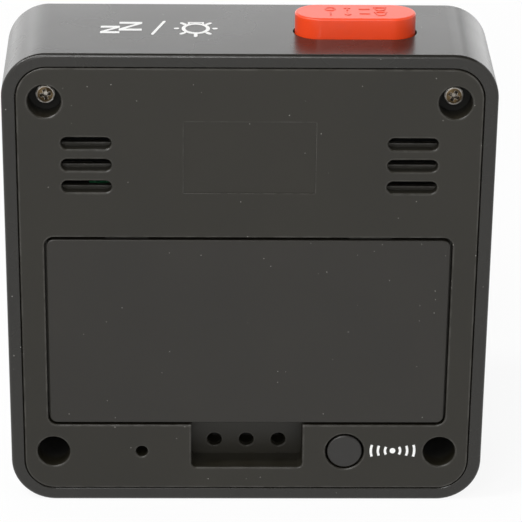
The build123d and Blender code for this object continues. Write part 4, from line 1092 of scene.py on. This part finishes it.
@dataclass
class CaseShell:
    """Square case: shell, the printed signs on its top and the screws that hold it."""

    top: float = 80.0 * MM
    sign_stretch: float = 1.25
    letter_stroke: float = 0.78
    letter_slant: float = 0.975
    letters: tuple[tuple[float, ...], ...] = ((21.3, 24.45, -0.9, 2.28), (17.7, 21.45, -2.66, 1.12))
    slash: Sign = ((Mark.PILL, (15.88, 2.6), (14.05, -2.93), 0.5),)
    lamp_centre: Point = (8.82, 0.1)
    lamp: Sign = ((Mark.RING, MIDDLE, 2.02, 0.62),
                  (Mark.AREA, (-1.32, -2.8), (1.32, -2.8), (1.32, -2.48), (-1.32, -2.48)),
                  (Mark.BAR, (-1.15, -2.48), (-1.15, -2.02), 0.34),
                  (Mark.BAR, (1.15, -2.48), (1.15, -2.02), 0.34))
    ray_angles: Sequence[int] = range(-45, 226, 45)
    ray_width: float = 0.6
    ray_reach: float = 3.32
    ray_starts: Point = (2.6, 3.02)
    screw: CrossScrew = CrossScrew(1.55 * MM, 0.9 * MM, 1.0 * MM, 8.0 * MM)
    screw_rows: tuple[Triple, Triple] = ((33.1 * MM, 9.5 * MM, 72.0 * MM), (32.8 * MM, 0.0, 9.24 * MM))
    screw_seed: int = 4

    def build(self) -> None:
        """Build and dress the case."""
        dress({CASE_BLACK: "case_shell"})
        add_piece("top_signs", self._signs(), "clock", "case_plastic")
        seats = [(side * x, y, z) for x, y, z in self.screw_rows for side in (-1, 1)]
        mesh = ScrewDriver().drive("case_screws_cross", self.screw, seats, self.screw_seed)
        add_piece("case_screws_cross", mesh, "clock", "screw_steel", "case_screws")

    def _signs(self) -> Mesh:
        """Return the snooze and light signs, read from the front and drawn long.

        Returns:
            The mesh, in white ink.
        """
        sheet = Stencil(UP * self.top, RIGHT, REAR * self.sign_stretch)
        for letter in self.letters:
            self._zed(sheet, *letter)
        sheet.draw(self.slash)
        sheet.draw(self.lamp, *self.lamp_centre)
        for degrees in self.ray_angles:
            reaches = (self.ray_starts[degrees in (0, 180)], self.ray_reach)
            sheet.pill(*[polar(self.lamp_centre, reach, degrees) for reach in reaches], self.ray_width)
        return sheet.mesh("top_signs", WHITE_INK)

    def _zed(self, sheet: Stencil, left: float, right: float, low: float, high: float) -> None:
        """Draw one snooze letter in a box given by its four sides.

        Args:
            sheet: Stencil to draw on.
            left: Side where the strokes start.
            right: Side where they end.
            low: Foot of the letter.
            high: Top of the letter.
        """
        bar, slant = self.letter_stroke, self.letter_slant
        sheet.area((left, high), (left, high - bar), (right - slant, high - bar), (left, low + bar),
                   (left, low), (right, low), (right, low + bar), (left + slant, low + bar),
                   (right, high - bar), (right, high))


@dataclass
class RearCover:
    """Rear panel with its battery door, receive key and the radio sign beside the key."""

    face: float = 14.0 * MM
    sign_centre: Point = (24.85, 9.44)
    sign_waves: tuple[Point, ...] = ((1.3, 0.7), (2.5, 0.92), (3.7, 1.1))
    sign_stroke: float = 0.42
    sign_dot: float = 0.5

    def build(self) -> None:
        """Build and dress the rear."""
        dress({PANEL_BLACK: "rear_panel", DOOR_BLACK: "battery_door", KEY_BLACK: "receive_key",
               PLUNGER_WHITE: "receive_plunger reset_plunger"})
        add_piece("radio_sign", self._radio_sign(), "clock", "panel_plastic")

    def _radio_sign(self) -> Mesh:
        """Return a sign of a dot with waves going out to both sides.

        Returns:
            The mesh, in white ink.
        """
        sheet = Stencil(REAR * self.face, -RIGHT, UP)
        sheet.dot(self.sign_centre, self.sign_dot)
        for radius, half in self.sign_waves:
            spread = math.degrees(math.asin(half / radius))
            for middle in (0.0, 180.0):
                sheet.band(self.sign_centre, radius, self.sign_stroke, middle - spread, middle + spread)
        return sheet.mesh("radio_sign", WHITE_INK)


@dataclass
class AlarmButton:
    """Orange push button in the top, with raised signs for alarm on and alarm off."""

    centre: Triple = (-17.3 * MM, 1.3 * MM, 83.4 * MM)
    lift: float = 0.07 * MM
    rounding: float = 0.03 * MM
    places: Sequence[float] = (-4.1, -1.5, 1.3, 4.1)
    rows: tuple[tuple[float, int], ...] = ((-1.35, -1), (1.2, 1))
    bell: Sign = ((Mark.BAND, (0.0, 0.1), 0.72, 0.32, 0.0, 180.0),
                  (Mark.BAR, (-0.72, 0.1), (-0.86, -0.66), 0.32),
                  (Mark.BAR, (0.72, 0.1), (0.86, -0.66), 0.32),
                  (Mark.BAR, (-1.1, -0.82), (1.1, -0.82), 0.32))
    dash: Sign = ((Mark.BAR, (-0.9, 0.0), (0.9, 0.0), 0.32),)
    arrow: Sign = ((Mark.BAR, (0.0, -0.9), (0.0, 0.3), 0.32),
                   (Mark.AREA, (-0.6, 0.3), (0.6, 0.3), (0.0, 0.95)))
    states: tuple[Sign, Sign] = (((Mark.RING, MIDDLE, 0.8, 0.32),),
                                 ((Mark.BAR, (0.0, -0.9), (0.0, 0.9), 0.32),))

    def build(self) -> None:
        """Build and dress the button."""
        dress({BUTTON_ORANGE: "alarm_button", PLUNGER_WHITE: "alarm_plunger"})
        raised = baked("button_signs", self._signs(), "BEVEL", {
            "width": self.rounding, "segments": 1, "limit_method": "ANGLE"})
        add_piece("button_signs", raised, "alarm_button", "orange_plastic")

    def _signs(self) -> Mesh:
        """Return two rows of signs: up is alarm on, down is alarm off.

        Returns:
            The mesh, in a matt, darker copy of the button's plastic; the darker colour is painted shade.
        """
        sheet = Stencil(Vector(self.centre), RIGHT, REAR, self.lift)
        for (y, way), state in zip(self.rows, self.states):
            signs = ((self.bell, 1), (self.dash, 1), (self.arrow, way), (state, 1))
            for x, (sign, turned) in zip(self.places, signs):
                sheet.draw(sign, x, y, turned)
        return sheet.mesh("button_signs", BUTTON_MATT_SHADED)


class Ink(Enum):
    """State of a display segment."""

    LIT = "lit"
    RESTING = "resting"


@dataclass
class SegmentRow:
    """A row of seven-segment digits."""

    text: str
    start: Point
    height: float
    width: float
    stroke: float
    pitch: float
    slant: float = 0.09
    gap: float = 0.12
    colon: Point = (0.3, 0.7)
    point_pitch: float = 0.36
    point_size: float = 0.55
    point_shift: float = 0.02

    LIT_SEGMENTS = {"0": "abcdef", "1": "bc", "2": "abged", "3": "abgcd", "5": "afgcd", "8": "abcdefg"}
    ENDS = {"a": (0, 2, 1, 2), "b": (1, 2, 1, 1), "c": (1, 1, 1, 0), "d": (0, 0, 1, 0), "e": (0, 1, 0, 0),
            "f": (0, 2, 0, 1), "g": (0, 1, 1, 1)}

    def draw(self, sheets: dict[Ink, Stencil]) -> None:
        """Draw the row.

        Args:
            sheets: A stencil for the lit and one for the resting segments.
        """
        x = self.start[0]
        for sign in self.text:
            if sign in ":.":
                self._points(sheets[Ink.LIT], x, sign)
                x += self.pitch * self.point_pitch
                continue
            for name, ends in self._segments(x):
                ink = Ink.LIT if name in self.LIT_SEGMENTS[sign] else Ink.RESTING
                sheets[ink].area(*ends)
            x += self.pitch

    def _points(self, sheet: Stencil, x: float, sign: str) -> None:
        """Draw a colon or a decimal point.

        Args:
            sheet: Stencil to draw on.
            x: Left side of the next digit.
            sign: The colon or the point.
        """
        for share in (self.colon if sign == ":" else (self.stroke / self.height / 2,)):
            rise = share * self.height
            left = x + self.slant * rise - self.pitch * self.point_shift
            sheet.dot((left, self.start[1] + rise), self.stroke * self.point_size)

    def _segments(self, x: float) -> Iterator[tuple[str, list[Point]]]:
        """Yield each segment's letter and outline for a digit at a place.

        Args:
            x: Left side of the digit.

        Yields:
            The segment's letter and the corners of its outline.
        """
        half = self.stroke / 2
        columns = (half, self.width - half)
        levels = (half, self.height / 2, self.height - half)
        for name, (left, low, right, high) in self.ENDS.items():
            first = Vector((columns[left], levels[low]))
            last = Vector((columns[right], levels[high]))
            along = (last - first).normalized()
            side = Vector((-along.y, along.x)) * half
            first += along * self.gap
            last -= along * self.gap
            corners = [first, first + along * half + side, last - along * half + side, last,
                       last - along * half - side, first + along * half - side]
            yield name, [(x + c.x + self.slant * c.y, self.start[1] + c.y) for c in corners]


@dataclass
class FrontDisplay:
    """Lens, display with its segments, backlight and tray."""

    glass_front: float = -11.0 * MM
    rows: tuple[SegmentRow, ...] = (
        SegmentRow("10:08", (-23.6, 40.5), 18.0, 9.4, 2.0, 11.3),
        SegmentRow("23.5", (-23.6, 30.6), 6.6, 3.7, 0.8, 4.6),
        SegmentRow("21", (9.6, 30.6), 6.6, 3.7, 0.8, 4.6),
    )
    icons: Sign = (
        (Mark.RING, (-7.4, 36.4), 0.6, 0.32),
        (Mark.AREA, (19.4, 60.4), (19.9, 60.9), *arc((21.0, 61.8), 1.1, 180.0, 0.0, 12),
         (22.1, 60.9), (22.6, 60.4)),
        (Mark.DOT, (21.0, 60.05), 0.34),
        (Mark.DOT, (-21.6, 60.6), 0.45),
        (Mark.BAND, (-21.6, 60.6), 1.2, 0.36, 20.0, 160.0),
        (Mark.BAND, (-21.6, 60.6), 2.1, 0.36, 20.0, 160.0),
        (Mark.BAR, (-24.5, 38.9), (24.5, 38.9), 0.18),
    )

    def build(self) -> None:
        """Build and dress the display."""
        dress({LENS_CLEAR: "front_lens", DISPLAY_GREY: "lcd_glass", GUIDE_MILK: "light_guide",
               LED_WHITE: "backlight_leds", STRIP_RUBBER: "contact_strip", TRAY_BLACK: "lcd_tray"})
        sheets = {ink: Stencil(REAR * self.glass_front, RIGHT, UP) for ink in Ink}
        for row in self.rows:
            row.draw(sheets)
        sheets[Ink.LIT].draw(self.icons)
        for ink, finish in ((Ink.LIT, SEGMENT_INK), (Ink.RESTING, RESTING_INK)):
            name = "display_segments_" + ink.value
            add_piece(name, sheets[ink].mesh(name, finish), "clock", "display_glass")


@dataclass
class SettingKeys:
    """Four keys under the display, each with a printed sign."""

    pitch: float = 13.2 * MM
    level: float = 12.6 * MM
    face: float = -13.8 * MM

    SIGNS = {
        "mode": ((Mark.RING, MIDDLE, 1.25, 0.28), (Mark.BAR, (0.0, -0.1), (0.0, 0.85), 0.26),
                 (Mark.BAR, (-0.1, 0.0), (0.7, 0.0), 0.26)),
        "set": ((Mark.BAND, MIDDLE, 1.15, 0.28, 160.0, 300.0), (Mark.BAND, MIDDLE, 1.15, 0.28, 20.0, 160.0),
                (Mark.DOT, MIDDLE, 0.4)),
        "minus": ((Mark.BAR, (-1.15, 0.0), (1.15, 0.0), 0.36),),
        "plus": ((Mark.BAR, (-1.15, 0.0), (1.15, 0.0), 0.36), (Mark.BAR, (0.0, 0.18), (0.0, 1.15), 0.36),
                 (Mark.BAR, (0.0, -1.15), (0.0, -0.18), 0.36)),
    }

    def build(self) -> None:
        """Build and dress the keys."""
        for number, (name, sign) in enumerate(self.SIGNS.items()):
            x = (number - (len(self.SIGNS) - 1) / 2) * self.pitch
            dress({KEY_BLACK: name + "_key", PLUNGER_WHITE: name + "_plunger"})
            sheet = Stencil(Vector((x, self.face, self.level)), RIGHT, UP)
            sheet.draw(sign)
            add_piece(name + "_sign", sheet.mesh(name + "_sign", WHITE_INK), name + "_key", "key_plastic")


@dataclass
class Electronics:
    """Boards, switches, antenna and leads inside the case, and the small screws that hold them."""

    screw: CrossScrew = CrossScrew(1.5 * MM, 0.9 * MM, 0.8 * MM, 4.0 * MM, recess_depth=0.7)
    tray_seats: tuple[Triple, ...] = ((33.2, -6.0, 64.0), (-33.2, -6.0, 64.0),
                                      (29.5, -6.0, 21.6), (-29.5, -6.0, 21.6))
    board_seats: tuple[Triple, ...] = ((24.8, -4.8, 6.4), (-24.8, -4.8, 6.4))
    switch_seats: tuple[Triple, ...] = ((-20.4, -2.7, 56.92), (-10.6, -2.7, 56.92))
    screw_seed: int = 11

    def build(self) -> None:
        """Build and dress what is inside."""
        dress({BOARD_GREEN: "main_board switch_board", BLOB_RESIN: "controller_chip",
               CHIP_BLACK: "receiver_chip buzzer", CAN_STEEL: "quartz_crystal",
               SWITCH_BLACK: "alarm_switch receive_switch reset_switch setting_switches",
               ROD_FERRITE: "ferrite_rod", COIL_COPPER: "antenna_coil", FOIL_COPPER: "touch_foil",
               WIRE_WHITE: "antenna_ribbon touch_ribbon switch_ribbon", WIRE_RED: "red_lead",
               WIRE_BLACK: "black_lead"})
        places = self.tray_seats + self.board_seats + self.switch_seats
        seats = [(x * MM, y * MM, z * MM) for x, y, z in places]
        mesh = ScrewDriver().drive("inner_screws_cross", self.screw, seats, self.screw_seed)
        add_piece("inner_screws_cross", mesh, "clock", "screw_steel",
                  "tray_screws", "board_screws", "switch_board_screws")


@dataclass
class BatterySet:
    """Two dry cells head to tail, with their contacts and springs; the cells' sizes in millimetres."""

    length: float = 50.5
    radius: float = 7.1
    shoulder: float = 49.2
    rim_inset: float = 0.9
    nub_radius: float = 2.75
    band_start: float = 37.5
    cell_y: float = 4.8
    upper_z: float = 38.65
    lower_z: float = 24.15
    reach: float = 28.75

    def build(self) -> None:
        """Build and dress the battery set."""
        dress({CONTACT_NICKEL: "positive_contact negative_contact bridge_contact battery_springs"})
        shape = bmesh.new()
        for z, side in ((self.upper_z, -1), (self.lower_z, 1)):
            turn = Quaternion((0, 0, 1), -side * math.pi / 2).to_matrix().to_4x4()
            start = Vector((side * (self.reach - self.length), self.cell_y, z)) * MM
            self._cell().spin_into(shape, Matrix.Translation(start) @ turn)
        mesh = to_mesh("dry_cells", shape, CAN_STEEL, JACKET_DARK, JACKET_GOLD)
        add_piece("dry_cells", mesh, "clock", "cell_jacket", "battery_cells")

    def _cell(self) -> Turning:
        """Return one cell, its negative end at the origin and the nub along Y.

        Returns:
            The turning, with a finish for each band of its outline.
        """
        steel, dark, gold = 0, 1, 2
        radius, top, nub = self.radius, self.shoulder, self.nub_radius
        rim = radius - self.rim_inset
        profile = [(0.0, 0.0), (4.4, 0.0), (4.7, 0.25), (rim - 0.5, 0.3), (rim, 0.1), (radius - 0.35, 0.15),
                   (radius, 0.55), (radius, self.band_start), (radius, top - 0.9), (radius - 0.5, top - 0.2),
                   (rim, top - 0.1), (rim - 0.4, top - 0.35), (nub + 0.5, top - 0.2), (nub, top + 0.2),
                   (nub, self.length - 0.35), (nub - 0.3, self.length), (0.0, self.length)]
        finishes = [steel] * 5 + [dark] * 2 + [gold] * 3 + [steel] * 6
        return Turning([(across * MM, along * MM) for across, along in profile], finishes)


# Studio

def looking(way: Vector, roll: float) -> Euler:
    """Return the turn of a lamp or camera that looks along a way, rolled by some degrees."""
    return (way.to_track_quat("-Z", "Y") @ Quaternion((0, 0, 1), math.radians(roll))).to_euler()


@dataclass(frozen=True)
class Softbox:
    """A soft rectangular lamp that looks at the object."""

    name: str
    place: Triple
    aim: Triple
    width: float
    height: float
    radiance: float
    roll: float = 0.0

    def hang(self) -> None:
        """Put the lamp in the scene, out of the camera's sight."""
        lamp = bpy.data.lights.new(self.name, "AREA")
        lamp.shape = "RECTANGLE"
        lamp.size = self.width
        lamp.size_y = self.height
        lamp.energy = self.radiance * math.pi * self.width * self.height
        holder = link(self.name, lamp)
        holder.location = self.place
        holder.rotation_euler = looking(Vector(self.aim) - Vector(self.place), self.roll)
        holder.visible_camera = False


@dataclass
class Studio:
    """White paper, a dark ceiling, soft light and the camera."""

    paper_side: float = 8.0
    sky_fill: float = 0.36
    ceiling_height: float = 0.9
    ceiling_side: float = 1.7
    boxes: tuple[Softbox, ...] = (
        Softbox("back_box", (0.02, -0.42, 0.1025), (0.0, 0.0, 0.07), 0.3, 0.205, 1.25),
        Softbox("left_wing", (0.30, -0.395, 0.1025), (0.05, 0.0, 0.07), 0.2, 0.205, 1.0),
        Softbox("right_wing", (-0.25, -0.395, 0.1025), (-0.05, 0.0, 0.07), 0.2, 0.205, 0.8),
        Softbox("key_box", (0.16, 0.46, 0.56), (0.0, 0.0, 0.05), 0.22, 0.22, 10.0),
        Softbox("lens_box", (0.02, 0.45, 0.232), (0.0, 0.0, 0.05), 0.06, 0.06, 38.0),
        Softbox("side_strip", (0.48, 0.21, 0.69), (0.0, 0.0, 0.05), 0.09, 0.46, 24.0, -29.0),
        Softbox("hair_box", (0.10, 0.16, 0.55), (0.0, 0.0, 0.05), 0.14, 0.10, 2.0),
    )
    camera_place: Triple = (0.0074152, 0.3912442, 0.2022264)
    camera_yaw: float = -1.2832
    camera_pitch: float = 22.7153
    camera_roll: float = 0.65175
    lens: float = 171.11
    sensor_width: float = 36.0
    shift_x: float = 0.01154
    shift_y: float = 0.00172

    def build(self) -> None:
        """Build the studio."""
        self._sheet("floor_paper", self.paper_side, 0.0, 1, PAPER_WHITE)
        ceiling = self._sheet("ceiling_cloth", self.ceiling_side, self.ceiling_height, -1, CLOTH_DARK)
        for kind in ("camera", "diffuse", "shadow", "transmission"):
            setattr(ceiling, "visible_" + kind, False)
        self._sky()
        for box in self.boxes:
            box.hang()
        self._camera()
        bpy.context.scene.view_settings.view_transform = "Standard"

    def _sheet(self, name: str, side: float, height: float, facing: int, finish: Finish) -> Object:
        """Put a level square sheet in the scene.

        Args:
            name: The sheet's name.
            side: Its side.
            height: Its height.
            facing: 1 if it faces up, -1 if it faces down.
            finish: Its finish.

        Returns:
            The sheet.
        """
        shape = bmesh.new()
        half = side / 2
        corners = ((-half, -half), (half, -half), (half, half), (-half, half))
        shape.faces.new([shape.verts.new((u, v * facing, height)) for u, v in corners])
        sheet = link(name, to_mesh(name, shape, finish))
        return sheet

    def _sky(self) -> None:
        """Set the white surroundings, weaker for diffuse light."""
        world = bpy.data.worlds.new("white_surroundings")
        world.use_nodes = True
        world.node_tree.nodes.clear()
        bench = NodeBench(world.node_tree)
        strength = bench.spread(bench.seen_rays(), 0.0, 1.0, self.sky_fill)
        sky = bench.place("ShaderNodeBackground", {"Color": WHITE, "Strength": strength})
        bench.place("ShaderNodeOutputWorld", {"Surface": sky.outputs["Background"]})
        bpy.context.scene.world = world

    def _camera(self) -> None:
        """Set the camera where the photograph was taken from."""
        yaw, pitch = math.radians(self.camera_yaw), math.radians(self.camera_pitch)
        way = Vector((math.sin(yaw) * math.cos(pitch), -math.cos(yaw) * math.cos(pitch), -math.sin(pitch)))
        data = bpy.data.cameras.new("photo_camera")
        for setting in ("lens", "sensor_width", "shift_x", "shift_y"):
            setattr(data, setting, getattr(self, setting))
        camera = link("photo_camera", data)
        camera.location = self.camera_place
        camera.rotation_euler = looking(way, self.camera_roll)
        bpy.context.scene.camera = camera


def main() -> None:
    """Build the sub-assemblies in order."""
    logging.basicConfig(level=logging.INFO, format="%(message)s")
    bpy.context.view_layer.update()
    for part in (CaseShell, RearCover, AlarmButton, FrontDisplay, SettingKeys, Electronics, BatterySet,
                 Studio):
        log.info("building %s", part.__name__)
        part().build()


if __name__ == "__main__":
    main()
